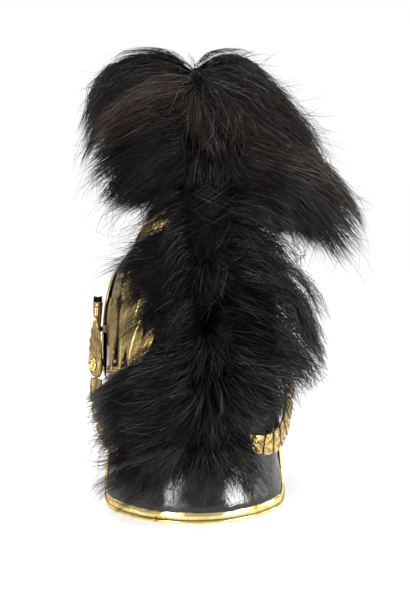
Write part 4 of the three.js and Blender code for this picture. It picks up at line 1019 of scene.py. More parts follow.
def spray_piece(side, word):
    b = Build()
    for a0, h0, a1, h1, w, lift, bend, heavy in LEAVES:
        leaf(b, side, (a0, h0), (a1, h1), w, lift, bend, heavy)
    ridged_band(b, side, 37, 75.5, 33.5, 8.5, 2.3, 3)
    # a broken lower strip beside the boss
    ridged_band(b, side, 58, 74, 16, 7.5, 1.4, 2, 40)
    # small berries between the leaves
    for a, h in ((60.5, 47), (51.5, 46), (62.5, 56), (45.5, 60), (41.5, 50), (36.5, 62), (52.5, 60), (31.0, 74), (43.5, 98), (58.0, 118)):
        at, n = on_skull(a, h, 0.0), skull_normal(a, h)
        at = at + n * 2.4
        at[0] *= side
        n = n * np.array([side, 1, 1])
        stud(b, at, n, 1.9, 1.9, 0.05, 14)
    return b.piece(f"leaf_spray_{word}_brass", GILT, [f"leaf_spray_{word}"], 50)


BOSS_AT, BOSS_TURN, BOSS_R = np.array([97.0, 11.0, 137.0]), math.radians(25), 15.0


def boss_frame(side):
    c, t = math.cos(BOSS_TURN), math.sin(BOSS_TURN)
    return BOSS_AT * np.array([side, 1, 1]), np.array([side * c, t, 0]), np.array([0, 0, 1.0]), np.array([-side * t, c, 0])


def turned(b, frame, profile, seg, cav=0.0, ripple=None):
    """A turned form; profile rows radius, height; ripple(angle, row) scales radius and adds height."""
    P, N, U, V = frame
    prof = np.asarray(profile, float)
    a = np.arange(seg) / seg * 2 * math.pi
    R = np.repeat(prof[:, 0:1], seg, 1)
    Z = np.repeat(prof[:, 1:2], seg, 1)
    if ripple is not None:
        k, z = ripple(a[None], np.arange(len(prof))[:, None])
        R, Z = R * k, Z + z
    rings = P + N * Z[..., None] + (U * np.cos(a)[:, None] + V * np.sin(a)[:, None])[None] * R[..., None]
    c = np.asarray(cav, float)
    b.tube(rings, np.repeat(c[:, None], seg, 1) if c.ndim else cav)


# flame-shaped plate above the boss: height, half width, stand-off
FLAME = [[-4, 12, 1.6], [8, 13.4, 1.8], [18, 13.4, 1.8], [27, 11.4, 1.6], [35, 8, 1.3], [42, 4.4, 1.0], [48.5, 0.8, 0.6]]


def boss_piece(side, word):
    b = Build()
    f = boss_frame(side)
    P, N, U, V = f
    rings = []
    for r in np.arange(0.4, 15.01, 0.43)[::-1]:
        ridge = 0.55 * math.cos((r - 8.6) * 2 * math.pi / 2.9) if 7.2 < r < 14.4 else 0.0
        rings.append((r, 3.3 + ridge - 0.10 * max(0, r - 12) ** 2, 0.75 - 0.75 * (0.5 + ridge)))
    prof = [(BOSS_R - 1, 0.0, 0.9), (BOSS_R, 0.8, 0.4), (BOSS_R + 0.1, 1.8, 0.1)] + rings[1:]
    turned(b, f, [p[:2] for p in prof], 72, np.clip([p[2] for p in prof], 0, 1))
    turned(b, f, [(0.5, -7), (4, -6.8), (4, 0.6), (0.5, 0.8)], 20, 0.8)
    h = np.linspace(-4, 48.3, 62)
    wn = lookup(FLAME, h)
    tongues = 1 + 0.085 * np.sin(h * 0.62 + 0.6) * smooth(2, 10, h)
    w, st = wn[:, 0] * tongues, wn[:, 1]
    c = np.linspace(-1, 1, 37)
    bb = w[:, None] * c[None]
    flute = 0.55 * np.cos(bb * 2 * math.pi / 4.3) * (1 - np.abs(c[None]) ** 8)
    swirl = 0.3 * np.sin(h[:, None] * 0.31 + c[None] * 3)
    rim = 0.45 * np.exp(-((w[:, None] - np.abs(bb) - 0.6) / 0.6) ** 2)
    relief = flute + swirl + rim
    o = st[:, None] + 0.1 + 1.6 * (1 - c[None] ** 2) + 0.75 * relief
    base = P + U * h[:, None, None] + V * bb[..., None]
    b.sheet(base + N * o[..., None], base + N * (st[:, None] - 1.2 + 0.5 * (1 - c[None] ** 2))[..., None], np.clip(0.38 - 0.5 * relief, 0, 1), 0.9)
    return b.piece(f"boss_plate_{word}_brass", GILT, [f"boss_plate_{word}"], 50)


def rosette_piece(side, word):
    b = Build()
    prof = [(6.4, 3.9), (7.0, 4.3), (7.2, 4.8), (6.9, 5.4), (6.3, 5.9), (5.6, 6.1), (4.9, 6.0), (4.5, 6.3), (4.4, 6.9), (4.1, 7.5), (3.5, 8.2), (2.6, 8.8), (1.5, 9.2), (0.3, 9.3)]
    cav = [0.6, 0.2, 0.0, 0.0, 0.0, 0.1, 0.7, 0.6, 0.15, 0.0, 0.0, 0.0, 0.0, 0.0]

    def petals(a, row):
        k = np.where(row < 6, 1 + 0.07 * np.abs(np.cos(a * 6)), 1.0)
        z = np.where(row < 6, 0.45 * (np.abs(np.cos(a * 6)) - 0.5), 0.0)
        return k + 0 * a, z + 0 * a

    turned(b, boss_frame(side), prof, 96, cav, petals)
    return b.piece(f"rosette_{word}_brass", BRASS_M, [f"rosette_{word}"], 50)


# ---------------------------------------------------------------- plume socket, its stub and the hook behind
SOCKET_FOOT, SOCKET_TOP = np.array([96.6, -11.0, 158.0]), np.array([95.6, -16.0, 195.0])
_n = unit(SOCKET_TOP - SOCKET_FOOT)
_v = unit(np.cross(_n, [1.0, 0, 0]))
SOCKET_FRAME = (SOCKET_FOOT, _n, np.cross(_v, _n), _v)


def socket_piece():
    b = Build()
    prof = [
        (0.4, 0), (1.8, 0.1), (2.3, 0.8), (2.2, 1.6), (2.6, 3), (2.9, 8), (3.3, 13), (3.7, 18), (4.05, 23), (4.4, 28), (4.6, 31), (4.5, 32.2), (4.9, 33),
        (5.1, 34), (4.9, 35), (5.2, 36), (5.3, 36.6), (4.9, 37), (4.3, 36.4), (3.6, 29), (2.6, 22), (0.4, 20.2),
    ]
    rows = np.arange(len(prof))
    cav = np.where((rows == 11) | (rows == 2) | (rows > 17), 0.9, 0.15)

    def ribs(a, row):
        side = (row > 3) & (row < 11)
        k = np.where(side, 1 + 0.05 * np.cos(a * 8), 1.0)
        z = np.where((row > 14) & (row < 19), 0.7 * np.abs(np.sin(a * 7)) - 0.4, 0.0)
        return k + 0 * a, z + 0 * a

    turned(b, SOCKET_FRAME, prof, 112, cav, ribs)
    # the short arm to the skull
    n = 16
    x = np.linspace(86.5, 95.0, n)
    k = 1 + 0.35 * np.cos(np.linspace(-1, 1, n) * math.pi)
    a = np.arange(16) / 16 * 2 * math.pi
    ring = np.stack([0 * a, 2.2 * np.sign(np.cos(a)) * np.abs(np.cos(a)) ** 0.6, 3.1 * np.sign(np.sin(a)) * np.abs(np.sin(a)) ** 0.6], -1)
    rings = np.stack([np.array([xx, -11.8, 167.7]) + ring * np.array([1, kk, kk]) for xx, kk in zip(x, 2 - k)])
    b.tube(rings, 0.35)
    return b.piece("plume_socket_brass", GILT, ["plume_socket"], 45)


def hook_piece():
    b = Build()
    N = unit([0, 1, 0.05])
    f = (np.array([0, 105.6, 103.5]), N, np.array([1.0, 0, 0]), unit(np.array([0, -0.05, 1])))
    turned(b, f, [(0.4, 0), (5.6, 0), (6, 0.4), (6, 1.3), (5.4, 1.7), (3.2, 2.0), (2.3, 2.6), (2.2, 4), (2.2, 11.2), (2.5, 11.6), (2.6, 12.6), (2.2, 13.3), (0.4, 13.5)], 48,
           [0.8, 0.6, 0.1, 0.0, 0.1, 0.6, 0.8, 0.3, 0.2, 0.5, 0.0, 0.0, 0.0])
    return b.piece("back_hook_brass", BRASS_M, ["back_hook"], 45)


# ---------------------------------------------------------------- chin straps and their scales
def strap_piece(side, word):
    b = Build()
    n = 150
    t = np.linspace(0, 1, n)
    P, T, B, N = strap_frame(t)
    w = width_at(t) * 0.36
    # a flat section with rounded edges
    sec = [(-0.92, 0), (-0.6, 0.03), (0, 0.03), (0.6, 0.03), (0.92, 0), (1.0, -0.5), (1.0, -1.4), (0.92, -STRAP_T), (0.3, -STRAP_T), (-0.3, -STRAP_T), (-0.92, -STRAP_T), (-1.0, -1.4), (-1.0, -0.5)]
    rings = np.stack([P + B * (w * s)[:, None] + N * o for s, o in sec], 1)
    wave = 0.25 * wobble(P, 22, 81)
    rings = rings + (N * wave[:, None] * np.sin(math.pi * t)[:, None])[:, None] * np.array([0.0 if o > -1 else 1.0 for _, o in sec])[None, :, None]
    rings[..., 0] *= side
    cav = np.array([0.5, 0.1, 0.0, 0.1, 0.5, 0.9, 0.9, 0.5, 0.1, 0.1, 0.5, 0.9, 0.9])
    b.tube(rings, np.broadcast_to(cav, rings.shape[:2]))
    return b.piece(f"chin_strap_{word}_leather", STRAP_M, [f"chin_strap_{word}"], 50)


def scale_piece(side, word):
    b = Build()
    names = []
    for k in range(SCALES):
        t0, t1 = 0.035 * (k > 0) + k / SCALES * 0.955, 0.035 + (k + 1) / SCALES * 0.955 - 0.0045
        n, m = 18, 25
        s, c = np.linspace(0, 1, n), np.linspace(-1, 1, m)
        S, C = np.meshgrid(s, c, indexing="ij")
        length = (t1 - t0) * 188.0
        half = width_at((t0 + t1) / 2) / 2
        W = half * (1 - 0.16 * S ** 3) * (0.94 + 0.06 * smooth(0, 0.25, S))
        # the free end is rounded
        tt = t0 + (t1 - t0) * (S - 0.13 * S ** 4 * np.abs(C) ** 2.5 * half / 13)
        P, T, B, N = strap_frame(tt)
        bb = C * W
        up = (1 - S) * length
        th = np.arctan2(bb, up + 1.8)
        r = np.hypot(bb, up + 1.8)
        rim = np.minimum(W - np.abs(bb), np.minimum(up + 0.3, 99))
        panel = smooth(1.5, 2.5, rim) * smooth(0.0, 0.8, S * length)
        fan = np.abs(((th * 9.5 / math.pi + 0.5) % 2) - 1) - 0.5
        bead = 0.45 * np.exp(-((rim - 0.95) / 0.75) ** 2)
        relief = panel * (1.15 * fan * smooth(2.0, 5.0, r) + 0.5 * np.exp(-((r - 3.0) / 1.0) ** 2)) + bead
        relief += 0.16 * wobble(P, 5.5, 90 + k) * panel
        lift = GAP + 0.9 * S
        crown = 0.8 + 1.0 * (1 - np.abs(C) ** 2.4)
        top = P + B * bb[..., None] + N * (lift + crown + relief * 0.72 - 0.25)[..., None]
        back = P + B * bb[..., None] + N * (lift - 0.15 - 0.15 * C ** 2)[..., None]
        top[..., 0] *= side
        back[..., 0] *= side
        # darker at each scale's root end, where the scale before lies over it: painted shade
        cav = np.clip(0.28 - 0.62 * relief + 0.3 * np.exp(-(S * length / 0.7) ** 2), 0, 1)
        b.sheet(top, back, cav, 0.9)
        names.append(f"scale_{word}_{k + 1:02d}")
    return b.piece(f"chin_scales_{word}_brass", SCALE_M, names, 50)


# ---------------------------------------------------------------- fur
def hair_mesh(name, paths, r0, r1, tone, nodes=(), mat=None):
    """Closed three-sided tapering hairs along paths (n, K, 3); one radius and tone each, one mesh in all."""
    paths = np.asarray(paths, float)
    n, K, _ = paths.shape
    p = paths
    T = np.empty_like(p)
    T[:, 1:-1] = p[:, 2:] - p[:, :-2]
    T[:, 0], T[:, -1] = p[:, 1] - p[:, 0], p[:, -1] - p[:, -2]
    T = unit(T)
    chord = p[:, -1] - p[:, 0]
    mid = p[:, K // 2] - p[:, 0]
    ref = np.cross(chord, mid)
    weak = np.linalg.norm(ref, axis=1) < 1e-3 * np.maximum(np.einsum("ij,ij->i", chord, chord), 1e-6)
    ref[weak] = np.cross(chord[weak], np.array([0.3, 0.2, 0.93]))
    ref = unit(ref)[:, None]
    X = unit(np.cross(T, ref))
    Y = np.cross(T, X)
    t = np.linspace(0, 1, K)
    rad_ = r0[:, None] * (1 - t[None]) ** 0.8 + r1[:, None] * t[None]
    ph = rng.uniform(0, 2 * math.pi, n)
    rings = []
    for s in range(3):
        a = (ph + s * 2 * math.pi / 3)[:, None, None]
        rings.append(p + (X * np.cos(a) + Y * np.sin(a)) * rad_[..., None])
    ring = np.stack(rings, 2)[:, :-1].reshape(n, (K - 1) * 3, 3)
    verts = np.concatenate([ring, p[:, -1:]], 1)
    per = (K - 1) * 3 + 1
    base = (np.arange(n) * per)[:, None, None]
    q = []
    for i in range(K - 2):
        for s in range(3):
            s2 = (s + 1) % 3
            q.append([i * 3 + s, i * 3 + s2, i * 3 + 3 + s2, i * 3 + 3 + s])
    tri = [[(K - 2) * 3 + s, (K - 2) * 3 + (s + 1) % 3, per - 1] for s in range(3)] + [[2, 1, 0]]
    quads = (base + np.array(q)[None]).reshape(-1, 4)
    tris = (base + np.array(tri)[None]).reshape(-1, 3)
    # faces outwards, from the first hair's own volume
    v0 = verts[0]
    vol = sum(np.dot(v0[a], np.cross(v0[b_], v0[c])) + np.dot(v0[a], np.cross(v0[c], v0[d])) for a, b_, c, d in q) + sum(np.dot(v0[a], np.cross(v0[b_], v0[c])) for a, b_, c in tri)
    if vol < 0:
        quads, tris = quads[:, ::-1], tris[:, ::-1]
    tone = np.asarray(tone)
    if tone.ndim == 1:
        tone = np.stack([tone, rng.uniform(0, 1, n) ** 2], -1)
    along = np.concatenate([np.repeat(t[:-1], 3), [1.0]])
    tones = tone[:, :1] * (0.35 + 0.75 * along[None])
    ob = mesh_piece(name, verts.reshape(-1, 3), quads, tris, mat or HAIR, {"tone": tones.ravel(), "shine": np.repeat(tone[:, 1], per)})
    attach(ob, "root")
    if nodes:
        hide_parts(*nodes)
    return ob


# Locks of the crest: name, root x y z, then three further points x y z,
# radius at root, middle and tip, share of hairs, brown
LOCKS = [
    ("crown_left_1", 3, 15, 429, 33, 36, 444, 79, 25, 431, 107, 27, 378, 6, 12, 12, 1, 0.14),
    ("crown_left_2", 4, 32, 427, 34, 66, 439, 79, 53, 420, 109, 44, 357, 6, 12, 12, 1.2, 0.12),
    ("crown_left_3", 3, 46, 424, 32, 90, 428, 74, 81, 406, 107, 61, 339, 6, 11, 12, 1.1, 0.12),
    ("side_left_1", -8, 60, 416, 21, 112, 417, 54, 107, 409, 97, 79, 378, 6, 9, 10, 1, 0.60),
    ("side_left_2", -9, 66, 407, 21, 116, 408, 54, 115, 398, 99, 77, 363, 6, 8, 9, 1, 0.95),
    ("side_left_3", -9, 72, 396, 25, 118, 392, 61, 110, 379, 103, 72, 345, 6, 9, 10, 1.6, 0.25),
    ("low_left_1", -9, 76, 387, 25, 120, 380, 63, 107, 361, 101, 75, 328, 6, 10, 10, 1.7, 0.08),
    ("low_left_2", -8, 80, 376, 25, 120, 365, 60, 107, 345, 91, 86, 312, 6, 10, 10, 1.8, 0.03),
    ("low_left_3", -8, 84, 365, 24, 118, 352, 55, 109, 330, 82, 87, 302, 6, 10, 10, 2, 0.02),
    ("low_left_4", -8, 88, 356, 20, 119, 340, 45, 108, 321, 70, 91, 300, 6, 10, 9, 1.8, 0.02),
    ("low_left_5", -8, 92, 345, 14, 117, 329, 32, 110, 312, 48, 100, 294, 6, 10, 9, 1.4, 0.02),
    ("fan_1", 2, 40, 426, 27, 87, 417, 56, 98, 393, 85, 88, 353, 6, 10, 10, 0.9, 0.12),
    ("fan_2", 1, 42, 426, 20, 89, 411, 39, 106, 383, 60, 107, 345, 6, 10, 10, 0.9, 0.05),
    ("fan_3", 1, 44, 426, 13, 89, 408, 25, 112, 378, 34, 116, 340, 6, 10, 10, 1, 0.30),
    ("fan_4", -1, 44, 426, 3, 90, 406, 9, 114, 376, 12, 119, 338, 6, 10, 10, 1, 0.30),
    ("fan_5", -4, 42, 426, -8, 90, 408, -12, 114, 378, -15, 120, 340, 6, 10, 10, 1, 0.30),
    ("fan_6", -7, 40, 426, -21, 87, 410, -36, 110, 385, -46, 116, 346, 6, 10, 10, 1, 0.30),
    ("fan_7", -9, 38, 425, -33, 82, 416, -59, 101, 395, -79, 103, 358, 6, 10, 10, 0.9, 0.15),
    ("fan_8", -10, 34, 426, -41, 75, 421, -77, 88, 406, -105, 89, 369, 6, 10, 10, 0.9, 0.25),
    ("under_1", -6, 80, 376, 12, 115, 358, 33, 112, 334, 53, 104, 304, 6, 10, 10, 0.8, 0.04),
    ("under_2", -8, 82, 374, 1, 116, 352, 9, 116, 327, 18, 113, 299, 6, 10, 10, 0.9, 0.03),
    ("under_3", -10, 82, 372, -11, 116, 350, -15, 116, 325, -17, 113, 297, 6, 10, 10, 0.9, 0.03),
    ("under_4", -12, 80, 372, -26, 115, 356, -43, 112, 332, -59, 107, 303, 6, 10, 10, 0.8, 0.10),
    ("whorl_1", -2, 55, 419, 15, 124, 414, 31, 121, 407, 47, 115, 396, 6, 9, 8, 1, 0.30),
    ("whorl_2", -2, 55, 419, 13, 124, 407, 25, 122, 394, 36, 118, 378, 6, 9, 8, 1, 0.30),
    ("whorl_3", -2, 55, 419, 7, 125, 403, 12, 123, 385, 16, 122, 364, 6, 9, 8, 1, 0.30),
    ("whorl_4", -2, 55, 419, -2, 125, 403, -7, 124, 382, -7, 123, 358, 6, 9, 8, 1, 0.30),
    ("whorl_5", -2, 55, 419, -11, 125, 406, -26, 123, 385, -34, 121, 356, 6, 9, 8, 1, 0.30),
    ("whorl_6", -2, 55, 419, -17, 124, 411, -41, 121, 396, -57, 117, 363, 6, 9, 8, 1, 0.30),
    ("whorl_7", -2, 55, 419, -20, 124, 418, -50, 119, 408, -71, 113, 379, 6, 9, 8, 1, 0.30),
    ("deep_right_1", -10, 36, 420, -38, 83, 419, -70, 64, 403, -99, 40, 370, 8, 15, 16, 1, 0.20),
    ("deep_right_2", -11, 44, 408, -42, 87, 402, -80, 65, 384, -115, 37, 352, 8, 15, 16, 1, 0.15),
    ("deep_right_3", -14, 52, 390, -50, 93, 369, -97, 71, 349, -153, 27, 306, 8, 16, 18, 1, 0.20),
    ("deep_right_4", -16, 58, 373, -52, 95, 352, -99, 72, 326, -159, 22, 277, 8, 16, 18, 1, 0.12),
    ("deep_right_5", -15, 62, 358, -50, 95, 337, -93, 72, 309, -137, 44, 264, 8, 16, 18, 1, 0.08),
    ("deep_right_6", -15, 66, 347, -47, 94, 324, -80, 73, 301, -105, 56, 276, 8, 15, 16, 1, 0.05),
    ("deep_left_1", -2, 40, 418, 35, 86, 417, 64, 60, 400, 89, 31, 362, 8, 14, 14, 1, 0.12),
    ("deep_left_2", -1, 52, 392, 35, 92, 382, 63, 69, 361, 84, 46, 331, 8, 14, 14, 1, 0.08),
    ("deep_left_3", -0, 60, 364, 34, 94, 351, 56, 76, 329, 73, 60, 309, 8, 14, 14, 1, 0.04),
    # The brown of crown_right_1 to 6 and lobe_right_1 to 3 is part the hair's own, part painted light shining through
    # their edges; lobe_right_1's high brown paints the reddish highlight on the lobe's top.
    ("crown_right_1", -7, 15, 431, -34, 38, 444, -60, 43, 429, -81, 62, 399, 6, 12, 12, 1, 0.42),
    ("crown_right_2", -8, 32, 428, -36, 68, 437, -64, 76, 417, -93, 82, 385, 6, 12, 12, 1.2, 0.36),
    ("crown_right_3", -9, 46, 424, -37, 93, 424, -71, 96, 400, -111, 86, 358, 6, 13, 16, 1.1, 0.28),
    ("crown_right_4", -10, 58, 416, -40, 107, 412, -75, 103, 391, -114, 92, 354, 6, 13, 16, 1, 0.22),
    ("crown_right_5", -11, 66, 402, -37, 113, 397, -67, 107, 377, -103, 98, 350, 6, 13, 16, 0.9, 0.18),
    ("crown_right_6", -13, 72, 392, -41, 115, 383, -67, 111, 368, -95, 102, 349, 6, 13, 16, 1, 0.18),
    ("lobe_right_1", -14, 78, 378, -52, 111, 363, -100, 103, 351, -157, 50, 308, 7, 15, 21, 1.2, 0.80),
    ("lobe_right_2", -16, 82, 369, -52, 115, 356, -104, 99, 336, -176, 4, 273, 7, 15, 21, 1.3, 0.30),
    ("lobe_right_3", -16, 86, 358, -54, 114, 346, -105, 99, 319, -164, 38, 253, 7, 15, 21, 1.4, 0.17),
    ("lobe_right_4", -16, 88, 346, -52, 115, 335, -99, 100, 304, -141, 67, 242, 7, 15, 21, 1.3, 0.11),
    ("lobe_right_5", -15, 92, 337, -47, 114, 326, -85, 103, 301, -119, 81, 261, 7, 15, 21, 1.5, 0.05),
    ("lobe_right_6", -14, 96, 327, -39, 113, 317, -66, 107, 299, -97, 91, 280, 7, 15, 21, 1.5, 0.05),
    ("lobe_right_7", -13, 96, 321, -34, 112, 306, -59, 107, 290, -80, 97, 275, 7, 15, 21, 2.2, 0.04),
    ("waist_1", -5, 94, 334, 20, 116, 323, 40, 114, 307, 53, 111, 286, 8, 11, 10, 1.5, 0.04),
    ("waist_2", -6, 96, 330, 9, 121, 312, 21, 127, 289, 28, 129, 262, 8, 11, 10, 1, 0.03),
    ("waist_3", -6, 98, 327, -1, 124, 303, 8, 134, 277, 21, 135, 248, 8, 11, 10, 1, 0.03),
    ("waist_4", -9, 98, 325, -13, 123, 301, -16, 133, 275, -14, 137, 246, 8, 11, 10, 1, 0.03),
    ("waist_5", -11, 98, 325, -28, 119, 305, -44, 121, 279, -58, 119, 250, 8, 11, 10, 1, 0.03),
    ("waist_6", -7, 96, 328, -36, 112, 313, -61, 107, 296, -80, 97, 274, 8, 10, 8, 2.2, 0.04),
    ("right_0", -10, 104, 277, -42, 122, 283, -68, 108, 268, -88, 93, 237, 6, 11, 8, 0.8, 0.06),
    ("right_1", -10, 112, 265, -42, 128, 267, -70, 113, 247, -96, 91, 199, 6, 11, 9, 0.9, 0.12),
    ("right_2", -9, 117, 249, -45, 133, 247, -86, 105, 218, -128, 28, 151, 6, 11, 9, 1.1, 0.15),
    ("right_3", -9, 121, 232, -45, 135, 229, -88, 105, 194, -139, -8, 120, 6, 11, 9, 1.1, 0.15),
    ("right_4", -7, 124, 216, -45, 137, 210, -88, 107, 174, -129, 27, 111, 6, 11, 9, 1.1, 0.15),
    ("right_5", -5, 126, 199, -41, 138, 192, -77, 117, 159, -99, 92, 115, 6, 11, 9, 1.3, 0.22),
    ("right_6", -3, 127, 181, -36, 140, 172, -65, 124, 137, -85, 106, 99, 6, 11, 9, 2, 0.15),
    ("right_7", -1, 128, 164, -28, 140, 153, -52, 132, 120, -74, 114, 84, 6, 11, 9, 1.6, 0.10),
    ("right_8", -0, 129, 147, -17, 143, 137, -30, 138, 116, -39, 133, 96, 6, 10, 8, 0.9, 0.08),
    ("left_00", -6, 104, 288, 15, 123, 289, 39, 119, 281, 67, 103, 268, 7, 10, 7, 2.7, 0.05),
    ("left_0", -6, 108, 274, 15, 129, 279, 39, 123, 270, 72, 102, 258, 7, 11, 8, 3, 0.05),
    ("left_1", -6, 112, 263, 21, 133, 266, 48, 122, 256, 81, 93, 236, 6, 11, 7, 2.4, 0.08),
    ("left_2", -6, 117, 251, 21, 139, 252, 47, 129, 240, 75, 105, 217, 6, 10, 7, 1.6, 0.08),
    ("left_3", -5, 121, 234, 20, 142, 234, 41, 134, 218, 63, 118, 193, 6, 10, 7, 1.5, 0.06),
    ("left_4", -4, 124, 218, 14, 145, 213, 29, 139, 197, 41, 132, 180, 6, 10, 7, 0.8, 0.05),
    ("left_5", -2, 126, 200, 20, 144, 186, 42, 133, 162, 69, 109, 136, 6, 10, 8, 1.2, 0.07),
    ("left_6", -1, 127, 181, 27, 142, 171, 64, 118, 148, 104, 55, 117, 6, 11, 10, 2.8, 0.12),
    ("left_7", 1, 128, 164, 33, 140, 152, 71, 111, 129, 108, 39, 95, 6, 11, 10, 3.4, 0.12),
    ("left_8", 1, 129, 149, 36, 136, 134, 71, 111, 109, 99, 66, 77, 6, 11, 10, 3.2, 0.10),
    ("left_9", 2, 129, 136, 33, 138, 119, 64, 116, 91, 96, 72, 57, 6, 10, 8, 2.4, 0.07),
    ("left_10", 2, 128, 124, 24, 139, 106, 44, 128, 81, 64, 113, 51, 6, 10, 9, 1, 0.06),
    ("knot_1", -4, 128, 200, 15, 148, 208, 33, 144, 201, 49, 133, 188, 6, 9, 7, 1, 0.05),
    ("knot_2", -4, 128, 200, 13, 148, 193, 27, 146, 176, 38, 139, 158, 6, 9, 7, 1, 0.05),
    ("knot_3", -4, 128, 200, 6, 149, 185, 11, 149, 163, 17, 146, 142, 6, 9, 7, 1, 0.05),
    ("knot_4", -4, 128, 200, -4, 149, 183, -5, 150, 161, -7, 148, 138, 6, 9, 7, 1, 0.05),
    ("knot_5", -4, 128, 200, -13, 148, 189, -26, 147, 171, -37, 142, 151, 6, 9, 7, 1, 0.05),
    ("knot_6", -4, 128, 200, -18, 148, 200, -35, 145, 193, -55, 134, 180, 6, 9, 7, 1, 0.05),
    ("knot_7", -4, 128, 200, -18, 148, 213, -33, 145, 212, -53, 135, 206, 6, 9, 7, 1, 0.05),
    ("low_knot_1", 8, 130, 128, 24, 146, 127, 38, 140, 118, 57, 127, 104, 6, 9, 7, 1, 0.04),
    ("low_knot_2", 8, 130, 128, 17, 147, 120, 26, 145, 102, 35, 140, 85, 6, 9, 7, 1, 0.04),
    ("low_knot_3", 8, 130, 128, 6, 149, 118, 4, 149, 99, 0, 147, 81, 6, 9, 7, 1, 0.04),
    ("low_knot_4", 8, 130, 128, -4, 149, 123, -18, 147, 111, -34, 142, 99, 6, 9, 7, 1, 0.04),
    ("high_knot_1", -5, 114, 261, 14, 147, 257, 29, 144, 242, 40, 138, 223, 6, 9, 7, 1, 0.05),
    ("high_knot_2", -5, 114, 261, 5, 148, 250, 9, 148, 230, 15, 147, 209, 6, 9, 7, 1, 0.05),
    ("high_knot_3", -5, 114, 261, -8, 148, 251, -17, 148, 233, -26, 145, 212, 6, 9, 7, 1, 0.05),
    ("high_knot_4", -5, 114, 261, -16, 147, 259, -33, 144, 245, -50, 136, 225, 6, 9, 7, 1, 0.05),
    ("high_knot_5", -5, 114, 261, -18, 147, 269, -37, 143, 263, -60, 131, 250, 6, 9, 7, 1, 0.05),
    ("spine_1", -3, 112, 257, 7, 138, 232, 14, 143, 203, 22, 141, 173, 7, 10, 10, 0.8, 0.03),
    ("spine_2", -4, 112, 257, -8, 138, 231, -15, 143, 203, -21, 142, 172, 7, 10, 10, 0.8, 0.03),
    ("spine_3", -3, 123, 220, 7, 142, 195, 16, 144, 168, 24, 141, 137, 7, 10, 10, 0.8, 0.03),
    ("spine_4", -4, 123, 220, -8, 142, 195, -17, 145, 167, -25, 141, 136, 7, 10, 10, 0.8, 0.03),
    ("spine_5", -1, 128, 179, 7, 144, 156, 16, 144, 128, 24, 141, 97, 7, 10, 9, 0.8, 0.03),
    ("spine_6", -2, 128, 179, -8, 144, 156, -17, 145, 128, -26, 141, 96, 7, 10, 9, 0.8, 0.03),
    ("nape_1", 8, 120, 105, 46, 132, 103, 74, 112, 84, 91, 96, 60, 6, 9, 7, 1.5, 0.08),
    ("nape_2", -3, 122, 101, 27, 139, 96, 57, 124, 74, 85, 103, 42, 6, 9, 7, 1.5, 0.10),
    ("nape_3", -3, 122, 95, 24, 139, 87, 50, 128, 63, 74, 114, 30, 6, 9, 7, 1.3, 0.10),
    ("nape_4", -3, 122, 91, 15, 141, 80, 33, 133, 58, 50, 126, 35, 6, 9, 8, 0.9, 0.08),
    ("nape_5", -3, 122, 89, -2, 142, 80, 1, 138, 59, 5, 136, 39, 6, 9, 8, 1, 0.08),
    ("nape_6", -4, 122, 88, -19, 140, 75, -33, 133, 55, -43, 127, 32, 6, 9, 8, 1, 0.16),
    ("nape_7", -2, 122, 88, -25, 139, 82, -46, 128, 69, -61, 120, 49, 6, 8, 8, 0.9, 0.10),
]
